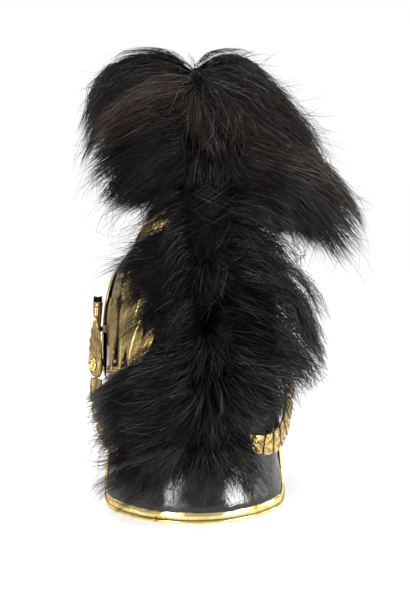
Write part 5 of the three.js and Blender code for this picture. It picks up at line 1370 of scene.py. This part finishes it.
# single wisps: the same columns, with the number of hairs as the share
WISPS = [
    ("wisp_top_1", 4, 20, 431, 28, 57, 448, 50, 51, 456, 73, 39, 450, 3, 5, 7, 36, 0.20),
    ("wisp_top_2", 5, 28, 429, 32, 66, 444, 62, 56, 445, 88, 58, 426, 3, 6, 8, 46, 0.20),
    ("wisp_top_3", -3, 20, 431, -17, 59, 446, -38, 57, 452, -61, 63, 437, 3, 5, 7, 40, 0.20),
    ("wisp_top_4", -1, 24, 430, 3, 60, 439, 5, 60, 446, 8, 60, 454, 2, 4, 6, 10, 0.10),
    ("wisp_left_1", 63, 70, 355, 97, 80, 331, 107, 67, 312, 113, 58, 301, 6, 8, 8, 10, 0.10),
    ("wisp_left_2", 45, 80, 312, 75, 88, 298, 85, 70, 277, 79, 75, 259, 8, 12, 12, 10, 0.10),
    ("wisp_left_3", 35, 80, 295, 60, 101, 281, 75, 86, 269, 88, 68, 273, 9, 12, 12, 14, 0.10),
    ("wisp_left_4", 13, 90, 275, 44, 118, 266, 70, 102, 253, 96, 67, 233, 7, 8, 7, 44, 0.10),
    ("wisp_left_5", 21, 104, 253, 53, 118, 255, 76, 100, 247, 89, 83, 237, 5, 7, 7, 34, 0.10),
    ("wisp_neck_1", -36, 90, 322, -12, 135, 306, 9, 140, 291, 30, 133, 281, 16, 22, 24, 110, 0.00),
    ("wisp_neck_2", 15, 90, 322, -3, 136, 307, -23, 138, 292, -42, 130, 284, 16, 22, 24, 110, 0.00),
    ("wisp_neck_3", -7, 98, 314, -10, 140, 290, -4, 144, 269, 11, 143, 258, 16, 22, 24, 90, 0.00),
    ("wisp_leaf_1", 22, 110, 233, 46, 125, 228, 65, 113, 219, 82, 98, 207, 6, 8, 7, 56, 0.10),
    ("wisp_leaf_2", 26, 112, 212, 47, 127, 206, 63, 117, 195, 80, 102, 175, 6, 9, 8, 70, 0.10),
    ("wisp_leaf_3", 18, 106, 253, 41, 126, 249, 59, 116, 238, 78, 101, 225, 7, 9, 8, 70, 0.10),
    ("wisp_leaf_4", 22, 118, 187, 47, 128, 172, 65, 116, 155, 86, 96, 139, 6, 9, 9, 50, 0.10),
    ("wisp_cover_4", 31, 128, 119, 64, 124, 103, 77, 116, 89, 89, 99, 74, 8, 11, 9, 230, 0.05),
    ("wisp_cover_5", 0, 98, 318, 26, 126, 311, 42, 125, 300, 55, 119, 285, 10, 13, 9, 260, 0.04),
    ("wisp_cover_6", -59, 110, 264, -67, 119, 241, -76, 110, 220, -87, 101, 203, 8, 8, 8, 110, 0.05),
    ("wisp_cover_1", 30, 126, 160, 67, 121, 141, 86, 103, 125, 104, 69, 109, 8, 13, 11, 330, 0.05),
    ("wisp_cover_2", 32, 126, 137, 68, 118, 121, 84, 105, 106, 97, 83, 92, 8, 13, 11, 380, 0.05),
    ("wisp_cover_3", -37, 124, 155, -61, 133, 138, -74, 130, 123, -85, 125, 110, 7, 9, 7, 380, 0.05),
    ("wisp_cover_7", -48, 124, 143, -63, 130, 127, -72, 130, 116, -78, 128, 106, 6, 6, 5, 170, 0.05),
    ("wisp_gap", 47, 120, 161, 65, 116, 151, 80, 104, 141, 96, 82, 128, 5, 7, 7, 90, 0.05),
    ("wisp_right_1", -54, 104, 252, -84, 103, 248, -108, 89, 224, -138, 22, 168, 4, 7, 8, 64, 0.10),
    ("wisp_right_2", -59, 104, 242, -89, 99, 226, -104, 99, 197, -137, 28, 140, 5, 8, 8, 150, 0.10),
    ("wisp_right_3", -68, 100, 196, -106, 77, 171, -136, -15, 125, -137, -16, 92, 5, 8, 8, 60, 0.10),
    ("wisp_right_4", -101, 60, 315, -126, 84, 281, -142, 71, 266, -151, 62, 253, 8, 12, 12, 60, 0.20),
    ("wisp_right_5", -69, 80, 312, -88, 98, 289, -101, 91, 271, -109, 87, 255, 8, 10, 10, 60, 0.10),
    ("wisp_low_1", 38, 120, 51, 57, 126, 35, 72, 115, 20, 88, 103, 5, 3, 4, 3, 26, 0.10),
    ("wisp_edge_1", 57, 120, 94, 79, 109, 84, 94, 96, 80, 106, 80, 78, 6, 6, 7, 40, 0.10),
    ("wisp_edge_2", 60, 116, 73, 79, 109, 64, 93, 98, 57, 107, 77, 50, 6, 7, 7, 40, 0.10),
    ("wisp_edge_3", 59, 112, 55, 80, 109, 44, 91, 100, 34, 103, 86, 21, 8, 9, 9, 90, 0.10),
    ("wisp_edge_4", 66, 120, 125, 81, 99, 110, 90, 87, 99, 101, 68, 90, 8, 8, 8, 60, 0.10),
]
# locks that lie side by side and close into one sheet of hair: mass, locks in order, hairs
SHEETS = [
    ("mop", ["crown_left_1", "crown_left_2", "crown_left_3", "side_left_1", "side_left_2", "side_left_3", "low_left_1", "low_left_2", "low_left_3", "low_left_4", "low_left_5"], 4150, 0.45),
    ("mop", ["crown_right_1", "crown_right_2", "crown_right_3", "crown_right_4", "crown_right_5", "crown_right_6", "lobe_right_1"], 2350, 0.45),
    ("mop", ["lobe_right_1", "lobe_right_2", "lobe_right_3", "lobe_right_4", "lobe_right_5", "lobe_right_6", "lobe_right_7"], 2700, 0.4),
    ("mop", ["deep_right_1", "deep_right_2", "deep_right_3", "deep_right_4", "deep_right_5", "deep_right_6"], 1750, 0.7),
    ("mop", ["deep_left_1", "deep_left_2", "deep_left_3"], 800, 0.6),
    ("mop", ["crown_left_2", "fan_1", "fan_2", "fan_3", "fan_4", "fan_5", "fan_6", "fan_7", "fan_8", "crown_right_2"], 800, 1.6),
    ("mop", ["whorl_1", "whorl_2", "whorl_3", "whorl_4", "whorl_5", "whorl_6", "whorl_7"], 860, 1.3),
    ("mop", ["low_left_4", "under_1", "under_2", "under_3", "under_4", "lobe_right_5"], 1000, 0.8),
    ("mane", ["waist_1", "waist_2", "waist_3", "waist_4", "waist_5", "waist_6"], 2000, 0.9),
    ("mane", ["right_0", "right_1", "right_2", "right_3", "right_4", "right_5", "right_6", "right_7", "right_8"], 2850, 0.45),
    ("mane", ["left_00", "left_0", "left_1", "left_2", "left_3", "left_4", "left_5", "left_6", "left_7", "left_8", "left_9", "left_10"], 4600, 0.45),
    ("mane", ["knot_1", "knot_2", "knot_3", "knot_4", "knot_5", "knot_6", "knot_7"], 700, 1.2),
    ("mane", ["high_knot_1", "high_knot_2", "high_knot_3", "high_knot_4", "high_knot_5"], 620, 1.1),
    ("mane", ["low_knot_1", "low_knot_2", "low_knot_3", "low_knot_4"], 380, 1),
    ("nape", ["nape_1", "nape_2", "nape_3", "nape_4", "nape_5", "nape_6", "nape_7"], 1850, 0.5),
]
LOCK = {row[0]: row[1:] for row in LOCKS + WISPS}
# the middle of each mass, which the hair grows away from
HEART = {"mop": (-8, 30, 352), "mane": (-5, 88, 190), "nape": (-4, 90, 96)}


def disc(n, flat=0.0):
    """Random points of the unit disc, denser towards the middle with flat above 0."""
    r = np.sqrt(rng.uniform(0, 1, n)) * rng.uniform(1 - flat, 1, n)
    a = rng.uniform(0, 2 * math.pi, n)
    return r * np.cos(a), r * np.sin(a)


def waves(t, n, size, cycles):
    """Gentle side-to-side waves that grow towards the tips: (n, K)."""
    ph, f = rng.uniform(0, 6.28, n)[:, None], rng.uniform(0.5, 1.6, n)[:, None] * cycles
    return size * rng.uniform(0.2, 1.0, n)[:, None] * np.sin(ph + 2 * math.pi * f * t) * t ** 0.8


def shine(nc, clump):
    """How glossy each hair is: most tufts are dull, a few catch the light."""
    return np.clip(rng.uniform(0, 1, nc)[clump] ** 2.6 + 0.5 * rng.uniform(0, 1, len(clump)) ** 4, 0, 1)


def lock_curve(name, n=33):
    """Points along a lock, evenly by length, with its radius, share and brown."""
    v = LOCK[name]
    pts = np.array(v[:12], float).reshape(4, 3)
    seg = np.concatenate([[0], np.cumsum(np.linalg.norm(np.diff(pts, axis=0), axis=1))])
    table = np.concatenate([(seg / seg[-1])[:, None], pts], 1)
    T = np.linspace(0, 1, n)
    return lookup(table, T), np.interp(T, [0, 0.5, 1], v[12:15]), v[15], v[16], seg[-1]


def along(C, i, x):
    """Points of curves C[i] (m, n, 3) at x, running straight on past their ends."""
    n = C.shape[1]
    y = np.clip(x, 0, 1) * (n - 1)
    j = np.minimum(y.astype(int), n - 2)
    f = (y - j)[..., None]
    p = C[i, j] * (1 - f) + C[i, j + 1] * f
    return p + (C[i, n - 1] - C[i, n - 3]) * (np.maximum(x - 1, 0) * (n - 1) / 2)[..., None]


def shaggy(n, K, nc, clump, short=0.0, full=2.1):
    """Start and end along the sheet for each hair: long over-hairs, and short ones that end part of the way."""
    end_c = 1.03 - 0.62 * rng.uniform(0, 1, nc) ** full
    end = end_c[clump] - 0.13 * rng.uniform(0, 1, n) ** 1.6 - short * rng.uniform(0, 1, n)
    start = np.maximum(end - rng.uniform(0.42, 0.95, n), 0.0)
    t = np.linspace(0, 1, K)[None]
    return start[:, None] + (end - start)[:, None] * t, t


def sheet_hairs(kind, names, n, K, cross, wild=1.0):
    """Hairs between neighbouring locks, in small tufts that rise out of the mass; cross is how many locks a tuft may stray over."""
    got = [lock_curve(x) for x in names]
    m = len(names)
    C = np.array([g[0] for g in got])
    R = np.array([g[1] for g in got])
    share, brown, length = (np.array([g[k] for g in got], float) for k in (2, 3, 4))
    nc = max(4, n // 6)
    cum = np.concatenate([[0], np.cumsum(0.5 * (share[1:] + share[:-1]))])
    s_c = np.interp(rng.uniform(0, cum[-1], nc), cum, np.arange(m))
    clump = rng.integers(0, nc, n)
    x, t = shaggy(n, K, nc, clump, full=3.0 if kind == "mop" else 2.4)
    s = np.clip(s_c[clump] + rng.normal(0, 0.12, n), 0, m - 1)[:, None] + (rng.normal(0, cross, nc)[clump] + rng.normal(0, 0.13, n) * wild)[:, None] * t
    s = np.clip(s, 0, m - 1 - 1e-6)
    i = np.minimum(s.astype(int), m - 2)
    f = (s - i)[..., None]
    path = along(C, i, x) * (1 - f) + along(C, i + 1, x) * f
    side = unit(along(C, i + 1, x) - along(C, i, x) + 1e-6)
    tan = unit(np.gradient(path, axis=1))
    S = unit(side - tan * np.einsum("...i,...i", side, tan)[..., None])
    D = np.cross(tan, S)
    D *= np.sign(np.einsum("...i,...i", D, path - np.array(HEART[kind])))[..., None]
    rad_ = (1 - f[..., 0]) * R[i, np.minimum((np.clip(x, 0, 1) * 32).astype(int), 32)] + f[..., 0] * R[i + 1, np.minimum((np.clip(x, 0, 1) * 32).astype(int), 32)]
    low_c = rng.uniform(-1.0, 0.45, nc)
    lift_c = rng.uniform(0.0, 1.0, nc)
    deep = rad_ * (0.55 * low_c[clump][:, None] + 0.75 * lift_c[clump][:, None] * t ** 1.4)
    deep = deep + (rng.normal(0, 1.4, n)[:, None] + rng.normal(0.6, 2.6, n)[:, None] * t ** 1.6 + waves(t, n, 1.6, 1.3)) * wild
    wide = (rng.normal(0, 1.5, n)[:, None] + rng.normal(0, 3.0, n)[:, None] * t ** 1.5 + waves(t, n, 2.2, 1.2)) * wild
    loose = rng.normal(0, 1, nc)[clump] * 5.0 + rng.normal(0, 2.5, n)
    wide = wide + loose[:, None] * (1 - t) * (0.25 + 0.75 * smooth(0.0, 0.25, x))
    gather = 1 - 0.35 * t * rng.choice([0.0, 1.0], nc, p=[0.4, 0.6])[clump][:, None]
    path = path + D * (deep * gather)[..., None] + S * (wide * gather)[..., None]
    path[..., 2] -= 1.5 * t ** 2 * rng.uniform(0, 1, n)[:, None]
    b = np.interp(s_c, np.arange(m), brown)[clump]
    tone = np.clip(b * rng.uniform(0.2, 1.3, n) + rng.normal(0.02, 0.08, nc)[clump] + 0.40 * rng.uniform(0, 1, n) ** 5, 0, 1)
    return path, np.stack([tone, shine(nc, clump) * np.clip(0.36 + 2.6 * b, 0, 1)], -1)


def wisp_hairs(name, K):
    C, R, count, brown, length = lock_curve(name)
    n = int(count)
    t = np.linspace(0, 1, K)[None]
    end = 1.0 - 0.45 * rng.uniform(0, 1, n) ** 1.5
    x = rng.uniform(0, 0.3, n)[:, None] * (1 - t) + end[:, None] * t
    path = along(C[None], np.zeros(x.shape, int), x)
    tan = unit(np.gradient(path, axis=1))
    S = unit(np.cross(tan, np.array([0.12, 0.2, 0.97])))
    D = np.cross(tan, S)
    a, b = disc(n)
    spread = np.interp(t, [0, 0.5, 1], [R[0], R[16], R[-1]])
    w = a[:, None] * spread + waves(t, n, 3.0, 1.1)
    d = b[:, None] * spread + waves(t, n, 2.4, 1.0)
    return path + S * w[..., None] + D * d[..., None], np.clip(brown * rng.uniform(0.3, 1.2, n), 0, 1)


def form_hairs(kind, n, K, depth, brown, turn=13.0, flat=1.0, far=1.0, fade=None):
    """Shaggy hairs that follow the outer form; depth is how much smaller than the form they may lie."""
    nc = max(4, n // 6)
    clump = rng.integers(0, nc, n)
    u_c = rng.uniform(0, 1, nc)
    if fade is not None:
        for _ in range(3):
            again = rng.uniform(0, 1, nc) > fade(u_c)
            u_c = np.where(again, rng.uniform(0, 1, nc), u_c)
    u = u_c[clump] + rng.normal(0, 0.007, n)
    x, t = shaggy(n, K, nc, clump)
    x = np.minimum(x, 1.0)
    k = 1 - depth * rng.uniform(0, 1, nc)[clump] ** 1.2 - 0.06 * rng.uniform(0, 1, n)
    k = k[:, None] + 0.07 * rng.uniform(0, 1, nc)[clump][:, None] * t
    tr = rng.normal(0, turn, nc)[clump] + rng.normal(0, 5, n)
    slip = rng.normal(0, 0.06, nc)[clump] + rng.normal(0, 0.02, n)
    one = np.ones_like(x)
    if kind == "mop":
        x = x * (1 - 0.14 * smooth(0.08, 0.16, u) * (1 - smooth(0.30, 0.42, u)))[:, None]
        k = k * (1 - 0.10 * smooth(0.56, 0.66, u) * (1 - smooth(0.90, 0.97, u)))[:, None]
    path = fur_point(kind, u[:, None] * one, x, k * far, (0.35 + 0.65 * k) * flat, rng.uniform(0.85, 1.04, n)[:, None] * one, tr[:, None] * t, slip[:, None] * one)
    tan = unit(np.gradient(path, axis=1))
    S = unit(np.cross(tan, np.array([0.11, 0.07, 0.99])))
    D = np.cross(tan, S)
    path = path + S * (waves(t, n, 2.4, 1.2) + rng.normal(0, 1.4, n)[:, None] + rng.normal(0, 4.0, n)[:, None] * t ** 1.5)[..., None]
    path = path + D * (waves(t, n, 1.8, 1.2) + rng.normal(0, 1.2, n)[:, None] + rng.normal(0, 2.4, n)[:, None] * t ** 1.5)[..., None]
    tone = np.clip(brown * rng.uniform(0.2, 1.4, n) + rng.normal(0.02, 0.08, nc)[clump] + 0.35 * rng.uniform(0, 1, n) ** 5, 0, 1)
    return path, np.stack([tone, shine(nc, clump)], -1)


LOW_LIMIT, HIGH_LIMIT = np.array(CAD_BOX[0]) * 1000 - SHIFT, np.array(CAD_BOX[1]) * 1000 - SHIFT


def tame(path, margin=2.2, stand_proud=8.0):
    """Hairs stay off the helmet's surfaces, above the ground and near the CAD box."""
    p = clear_of_helmet(path, margin)
    lo, hi = LOW_LIMIT - stand_proud, HIGH_LIMIT + stand_proud
    soft = 14.0
    over = np.maximum(p - (hi - soft), 0)
    p = np.where(over > 0, hi - soft + soft * (1 - np.exp(-over / soft)), p)
    under = np.maximum((lo + soft) - p, 0)
    under[..., 2] = 0
    p = np.where(under > 0, lo + soft - soft * (1 - np.exp(-under / soft)), p)
    p[..., 2] = np.maximum(p[..., 2], 1.0 + 0.3 * np.sin(p[..., 0]))
    return p


def widths(n, thick=1.0, end=0.22):
    r0 = rng.uniform(0.20, 0.44, n) * thick
    return r0, r0 * end * rng.uniform(0.6, 1.4, n)


# fraction of the way out from the root to the rim, and how far the underside hangs there
UNDERSIDE = ((0.90, 0.17), (0.72, 0.36), (0.52, 0.50), (0.30, 0.60))


def fur_core(name, kind, scale, nodes=(), cols=220, rows=22, deep=30.0, ridge=1.6, ragged=5.0, flat=1.0, reach=0.95):
    """The dark mass under the hairs, painted near black as the shade deep between them: the outer form shrunk, streaked
    along its locks.
    """
    b = Build()
    u = np.arange(cols) / cols
    v = 0.03 + reach * (np.arange(rows) / (rows - 1)) ** 0.95
    V, U = np.meshgrid(v, u, indexing="ij")
    s = np.full_like(U, scale)
    p = fur_point(kind, U, V, s, (0.35 + 0.65 * s) * flat, s ** 0.5)
    root, rws, out = KINDS[kind]
    r = fur_row(rws, u)
    t = np.clip(r[:, 0], 0, 1)
    R, O = lookup(root, t), unit(np.concatenate([np.zeros((cols, 1)), lookup(out, t)], 1))
    centre = lookup(root, np.array([0.5]))[0]
    away = unit(p - centre)
    streak = sum(np.sin(2 * math.pi * (U * f + 0.06 * np.sin(V * 4 + f)) + f) / 3 for f in (61, 97, 143))
    p = p + away * (ridge * streak * smooth(0.05, 0.3, V))[..., None]
    # the rim is ragged, in tufts
    tuft = rng.uniform(-1, 1, cols)
    tuft = tuft + 0.6 * (np.roll(tuft, 1) + np.roll(tuft, -1))
    along_ = unit(np.gradient(p, axis=0))
    p = p + along_ * (ragged * tuft[None] * smooth(0.45, 1.0, V) ** 2)[..., None]
    # the underside, in locks too
    rings = [p]
    for j, (s_, dip) in enumerate(UNDERSIDE):
        lock = sum(np.sin(2 * math.pi * u * f + f + 0.5 * j) for f in (31, 53, 87)) / 3
        rings.append((lerp(R, p[-1], s_) - O * (deep * dip - 3.0 * lock * (0.4 + s_))[:, None])[None])
    rings = clear_of_helmet(np.concatenate(rings), 1.6)
    tone = np.concatenate([0.0 * V, np.zeros((len(UNDERSIDE), cols))])
    b.tube(rings, tone)
    v_, q_, t_, c_ = b.arrays()
    ob = mesh_piece(name, v_, q_, t_, CORE_PAINTED_SHADE, {"tone": c_})
    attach(ob, "root")
    if nodes:
        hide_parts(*nodes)
    return ob


def under_hairs(name, kind, n, scale, flat, reach, deep=30.0):
    """Hairs that hang from the underside of a mass, out past its rim."""
    g = np.random.default_rng(57)
    u = g.uniform(0, 1, n)
    s = np.full((n, 1), scale)
    rim = fur_point(kind, u[:, None], np.full((n, 1), 0.03 + reach), s, (0.35 + 0.65 * s) * flat, s ** 0.5)[:, 0]
    root, rws, out = KINDS[kind]
    t0 = np.clip(fur_row(rws, u)[:, 0], 0, 1)
    R, O = lookup(root, t0), unit(np.concatenate([np.zeros((n, 1)), lookup(out, t0)], 1))
    t = np.linspace(0, 1, 4)[None]
    q = g.uniform(0.32, 0.80, n)[:, None] * (1 - t) + g.uniform(0.88, 1.12, n)[:, None] * t
    table = np.array([(1.2, 0.0), (1.0, 0.0)] + list(UNDERSIDE))[::-1]
    dip = deep * np.interp(q, table[:, 0], table[:, 1]) + g.uniform(1.0, 4.0, n)[:, None]
    path = R[:, None] * (1 - q[..., None]) + rim[:, None] * q[..., None] - O[:, None] * dip[..., None]
    run = unit(rim - R)
    S = unit(np.cross(run, O))
    path = path + S[:, None] * ((g.normal(0, 5, n)[:, None] * t ** 1.4 + g.normal(0, 2, n)[:, None])[..., None])
    path[..., 2] -= g.uniform(0, 7, n)[:, None] * t ** 2
    r0 = g.uniform(0.40, 0.80, n)
    tone = np.stack([g.uniform(0, 0.16, n), 0.35 * g.uniform(0, 1, n) ** 2], -1)
    hair_mesh(name, tame(path), r0, 0.45 * r0, tone, mat=HAIR_TOP_PAINTED_LIT)


def add_fuzz(kind, p, tone, n):
    """Short curled hairs that leave the long ones in every direction."""
    pick = rng.integers(0, len(p), n)
    at = rng.uniform(0.8, p.shape[1] - 1.2, n)
    i = at.astype(int)
    f = (at - i)[:, None]
    base = p[pick, i] * (1 - f) + p[pick, i + 1] * f
    run = unit(p[pick, i + 1] - p[pick, i])
    out = unit(base - np.array(HEART[kind]))
    d = unit(run + out * rng.uniform(-0.1, 0.55, n)[:, None] + rng.normal(0, 0.42, (n, 3)))
    bend = rng.normal(0, 0.55, (n, 3)) + np.array([0, 0, -0.25])
    size = rng.uniform(12, 40, n)[:, None]
    t = np.linspace(0, 1, 4)
    q = base[:, None] + d[:, None] * (size * t)[..., None] + bend[:, None] * (size * 0.5 * t ** 2)[..., None]
    q = tame(q)
    r0, r1 = widths(n, 0.62)
    hair_mesh(f"{'nape_tuft' if kind == 'nape' else 'crest_' + kind}_fuzz", q, r0, r1, np.clip(tone[pick] * 0.8 + 0.5 * rng.uniform(0, 1, (n, 1)) ** 3, 0, 1), mat=HAIR_TOP_PAINTED_LIT if kind == "mop" else HAIR)


def fur():
    # near-black cores in each mass, painted as the shade deep between the hairs
    fur_core("crest_mop_shade_core", "mop", 0.80, ["crest_mop"], flat=0.64, reach=0.78, ragged=7.0)
    fur_core("crest_mane_shade_core", "mane", 0.60, ["crest_mane"], reach=0.92)
    fur_core("nape_tuft_shade_core", "tuft", 0.66, ["nape_tuft"], cols=120, rows=16, deep=12)
    under_hairs("crest_mop_under_hair", "mop", 620, 0.80, 0.64, 0.78)
    parts = {"mop": [], "mane": [], "nape": []}
    for kind, names, n, cross in SHEETS:
        parts[kind].append(sheet_hairs(kind, names, int(n * SHEET_SHARE), 5, cross, 2.1 if names[0] == "whorl_1" else 1.0))
    # fewer where the placed locks already are, more at the front and the sides
    around = (
        ("mop", "crest_mop", form_hairs("mop", N_MOP, 4, 0.15, 0.16, turn=17, flat=0.74, far=0.97, fade=lambda u: 0.22 + 0.78 * smooth(0.06, 0.16, u) * (1 - smooth(0.84, 0.94, u))), HAIR_TOP_PAINTED_LIT),
        ("mane", "crest_mane", form_hairs("mane", N_MANE, 4, 0.22, 0.07), HAIR),
        ("nape", "nape_tuft", form_hairs("tuft", N_TUFT, 4, 0.25, 0.06), HAIR),
    )
    for kind, name, (p, tone), look in around:
        r0, r1 = widths(len(p), 1.15 if kind == "mop" else 1.05, 0.42)
        hair_mesh(name + "_side_hair", tame(p), r0, r1, tone, mat=look)
    count = 0
    for kind, got in parts.items():
        p, tone = np.concatenate([g[0] for g in got]), np.concatenate([g[1] for g in got])
        p = tame(p)
        add_fuzz(kind, p, tone, int(FUZZ[kind]))
        k = int(np.ceil(len(p) / 8800))
        order = rng.permutation(len(p))
        for j in range(k):
            pick = order[j::k]
            r0, r1 = widths(len(pick), 1.15 if kind == "mop" else 1.05, 0.42)
            # the mop takes the lighter hair, painted lit from above; the mane and nape take the darker, shaded one
            hair_mesh(f"{'nape_tuft' if kind == 'nape' else 'crest_' + kind}_hair_{'abcdef'[j]}", p[pick], r0, r1, tone[pick], mat=HAIR_TOP_PAINTED_LIT if kind == "mop" else HAIR)
        count += len(p)
    # single hairs that stand away from the mass
    fly_p, fly_t = [], []
    for row in WISPS:
        q, tone = wisp_hairs(row[0], 5)
        fly_p.append(q)
        fly_t.append(tone)
    for kind, n in (("mop", 420), ("mane", 330), ("tuft", 90)):
        n = int(n * STRAY_SHARE)
        u, K2 = rng.uniform(0, 1, n), 5
        v = np.linspace(0, 1, K2)[None] * rng.uniform(0.5, 0.97, n)[:, None]
        one = np.ones_like(v)
        t_ = np.linspace(0, 1, K2)[None]
        q = fur_point(kind, u[:, None] * one, v, rng.uniform(0.80, 0.95, n)[:, None] * one, rng.uniform(0.70, 0.92, n)[:, None] * one, rng.uniform(0.6, 0.95, n)[:, None] * one,
                      rng.normal(0, 20, n)[:, None] * t_, rng.normal(0, 0.08, n)[:, None] * one)
        q[..., 2] += (rng.normal(1, 4, n)[:, None] * t_ ** 2)
        q[..., 0] += waves(t_, n, 4.5, 1.5)
        q[..., 1] += waves(t_, n, 3.0, 1.2)
        fly_p.append(q)
        fly_t.append(rng.uniform(0, 0.25, n))
    p = tame(np.concatenate(fly_p), stand_proud=9.5)
    r0, r1 = widths(len(p), 0.72)
    hair_mesh("stray_hairs", p, r0, r1, np.concatenate(fly_t))


def stub_piece():
    """The worn stump of the side plume: short stiff hairs in the socket, in two lobes."""
    P, N, U, V = SOCKET_FRAME
    b = Build()
    turned(b, SOCKET_FRAME, [(0.4, 23), (2.0, 23.2), (3.0, 30), (3.6, 36), (4.2, 38.6), (3.9, 41), (2.2, 42.2), (0.4, 42.0)], 40, 0.05,
           lambda a, row: (1 + 0.10 * np.cos(2 * a) * (row > 3), 0.6 * np.cos(2 * a) * (row > 4)))
    v_, q_, t_, c_ = b.arrays()
    # a near-black core in the socket, painted as the shade between the stub's hairs
    core = mesh_piece("plume_stub_shade_core", v_, q_, t_, CORE_PAINTED_SHADE, {"tone": c_})
    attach(core, "root")
    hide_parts("plume_stub")
    n = 520
    x, y = disc(n)
    t = np.linspace(0, 1, 4)[None]
    lob = np.abs(np.cos(np.arctan2(y, x)))
    tall = 41.4 + 2.4 * lob * np.hypot(x, y) + rng.normal(0, 0.5, n)
    hh = 31 + (tall - 31)[:, None] * t
    spread = 2.6 + 2.1 * t ** 1.5
    p = P + N * hh[..., None] + U * (x[:, None] * spread)[..., None] + V * (y[:, None] * spread)[..., None]
    r0, r1 = widths(n, 1.15)
    hair_mesh("plume_stub_hair", p, r0, r1, rng.uniform(0, 0.2, n))


SHEET_SHARE, N_MOP, N_MANE, N_TUFT, STRAY_SHARE = 0.62, 4700, 2500, 600, 0.45
FUZZ = {"mop": 2400, "mane": 2300, "nape": 750}


# ---------------------------------------------------------------- the object
skull_piece()
guard_piece()
guard_binding_piece()
peak_piece()
peak_binding_piece()
front_plate_piece()
comb_piece()
for _side, _word in ((1, "left"), (-1, "right")):
    spray_piece(_side, _word)
    boss_piece(_side, _word)
    rosette_piece(_side, _word)
    strap_piece(_side, _word)
    scale_piece(_side, _word)
socket_piece()
hook_piece()
fur()
stub_piece()


# ---------------------------------------------------------------- floor, light and camera
def at(x, y, z):
    return Vector(((x + SHIFT[0]) / 1000, (y + SHIFT[1]) / 1000, (z + SHIFT[2]) / 1000))


def floor():
    """A pale floor that fades into the white studio well away from the helmet."""
    k = Look("studio_floor", Roughness=0.9, Specular_IOR_Level=0.1, Emission_Color=(1, 1, 1, 1), Emission_Strength=0.30)
    k.finish(k.ramp(k.noise(6, 3, 0.5), (0.3, (0.90, 0.90, 0.90)), (0.7, (0.915, 0.915, 0.915))))
    t = k.t
    far = k.add("ShaderNodeVectorMath", operation="LENGTH")
    t.links.new(k.at, far.inputs[0])
    fade = k.span(far.outputs["Value"], 0.0, 1.0, FLOOR_FADE[0], FLOOR_FADE[1])
    clear, both = k.add("ShaderNodeBsdfTransparent"), k.add("ShaderNodeMixShader")
    out = [n for n in t.nodes if n.type == "OUTPUT_MATERIAL"][0]
    t.links.new(fade, both.inputs[0])
    t.links.new(k.b.outputs["BSDF"], both.inputs[1])
    t.links.new(clear.outputs["BSDF"], both.inputs[2])
    t.links.new(both.outputs[0], out.inputs["Surface"])
    seg, radii = 96, [0.0001, 0.2, 0.4, 0.7, 1.1, 1.6, 2.3]
    a = np.arange(seg) / seg * 2 * math.pi
    v = np.array([np.stack([r * np.cos(a), r * np.sin(a), 0 * a - 0.0002], -1) for r in radii]) * 1000 - SHIFT
    ix = np.arange(v.shape[0] * seg).reshape(v.shape[0], seg)
    r = np.concatenate([ix, ix[:, :1]], 1)
    q = np.stack([r[:-1, :-1], r[:-1, 1:], r[1:, 1:], r[1:, :-1]], -1).reshape(-1, 4)[:, ::-1]
    mesh_piece("studio_floor", v, q, None, k.m)


def softbox(name, where, size, power, aim=(0, 10, 190), colour=(1, 1, 1)):
    li = bpy.data.lights.new(name, "AREA")
    li.shape, li.size, li.size_y, li.energy, li.color = "RECTANGLE", size[0], size[1], power, colour
    ob = bpy.data.objects.new(name, li)
    ob.location = at(*where)
    ob.rotation_mode = "QUATERNION"
    ob.rotation_quaternion = (at(*aim) - ob.location).to_track_quat("-Z", "Y")
    bpy.context.scene.collection.objects.link(ob)


FLOOR_FADE = (0.40, 1.5)
floor()
softbox("soft_left", (950, 1750, 900), (0.6, 0.8), 13, (10, 60, 120))
softbox("soft_right", (-1750, 900, 720), (0.55, 0.8), 14, (0, 60, 120))
softbox("low_left", (1030, 1850, 190), (0.75, 0.36), 15, (20, 110, 30))
softbox("low_right", (-1500, 1290, 190), (0.9, 0.36), 36, (-10, 110, 30))
softbox("low_side", (-2050, -150, 300), (1.0, 0.6), 8, (-60, 60, 60))
softbox("soft_top", (150, 250, 2100), (1.9, 1.9), 27)
softbox("soft_front_left", (1500, -1400, 1100), (1.0, 1.2), 9)
softbox("soft_front_right", (-1300, -1600, 1100), (1.0, 1.2), 9)

world = bpy.data.worlds.new("studio_world")
bpy.context.scene.world = world
world.use_nodes = True
wt = world.node_tree
wt.nodes.clear()
w_out, w_mix = wt.nodes.new("ShaderNodeOutputWorld"), wt.nodes.new("ShaderNodeMixShader")
w_lit, w_seen, w_path = wt.nodes.new("ShaderNodeBackground"), wt.nodes.new("ShaderNodeBackground"), wt.nodes.new("ShaderNodeLightPath")
w_lit.inputs["Color"].default_value, w_lit.inputs["Strength"].default_value = (1, 1, 1, 1), 0.52
w_seen.inputs["Color"].default_value, w_seen.inputs["Strength"].default_value = (1, 1, 1, 1), 1.0
wt.links.new(w_path.outputs["Is Camera Ray"], w_mix.inputs[0])
wt.links.new(w_lit.outputs[0], w_mix.inputs[1])
wt.links.new(w_seen.outputs[0], w_mix.inputs[2])
wt.links.new(w_mix.outputs[0], w_out.inputs["Surface"])

cam = bpy.data.cameras.new("camera")
cam.sensor_fit, cam.sensor_width, cam.lens = "AUTO", 36.0, 85.28
cam.clip_start, cam.clip_end = 0.05, 60.0
cam_ob = bpy.data.objects.new("camera", cam)
cam_ob.location = at(84.69, 1397.5, 440.0)
cam_ob.rotation_mode = "QUATERNION"
cam_ob.rotation_quaternion = (at(-12.97, 0.91, 203.18) - cam_ob.location).to_track_quat("-Z", "Y")
bpy.context.scene.collection.objects.link(cam_ob)
bpy.context.scene.camera = cam_ob
bpy.context.scene.view_settings.view_transform = "Standard"
bpy.context.scene.view_settings.look = "None"
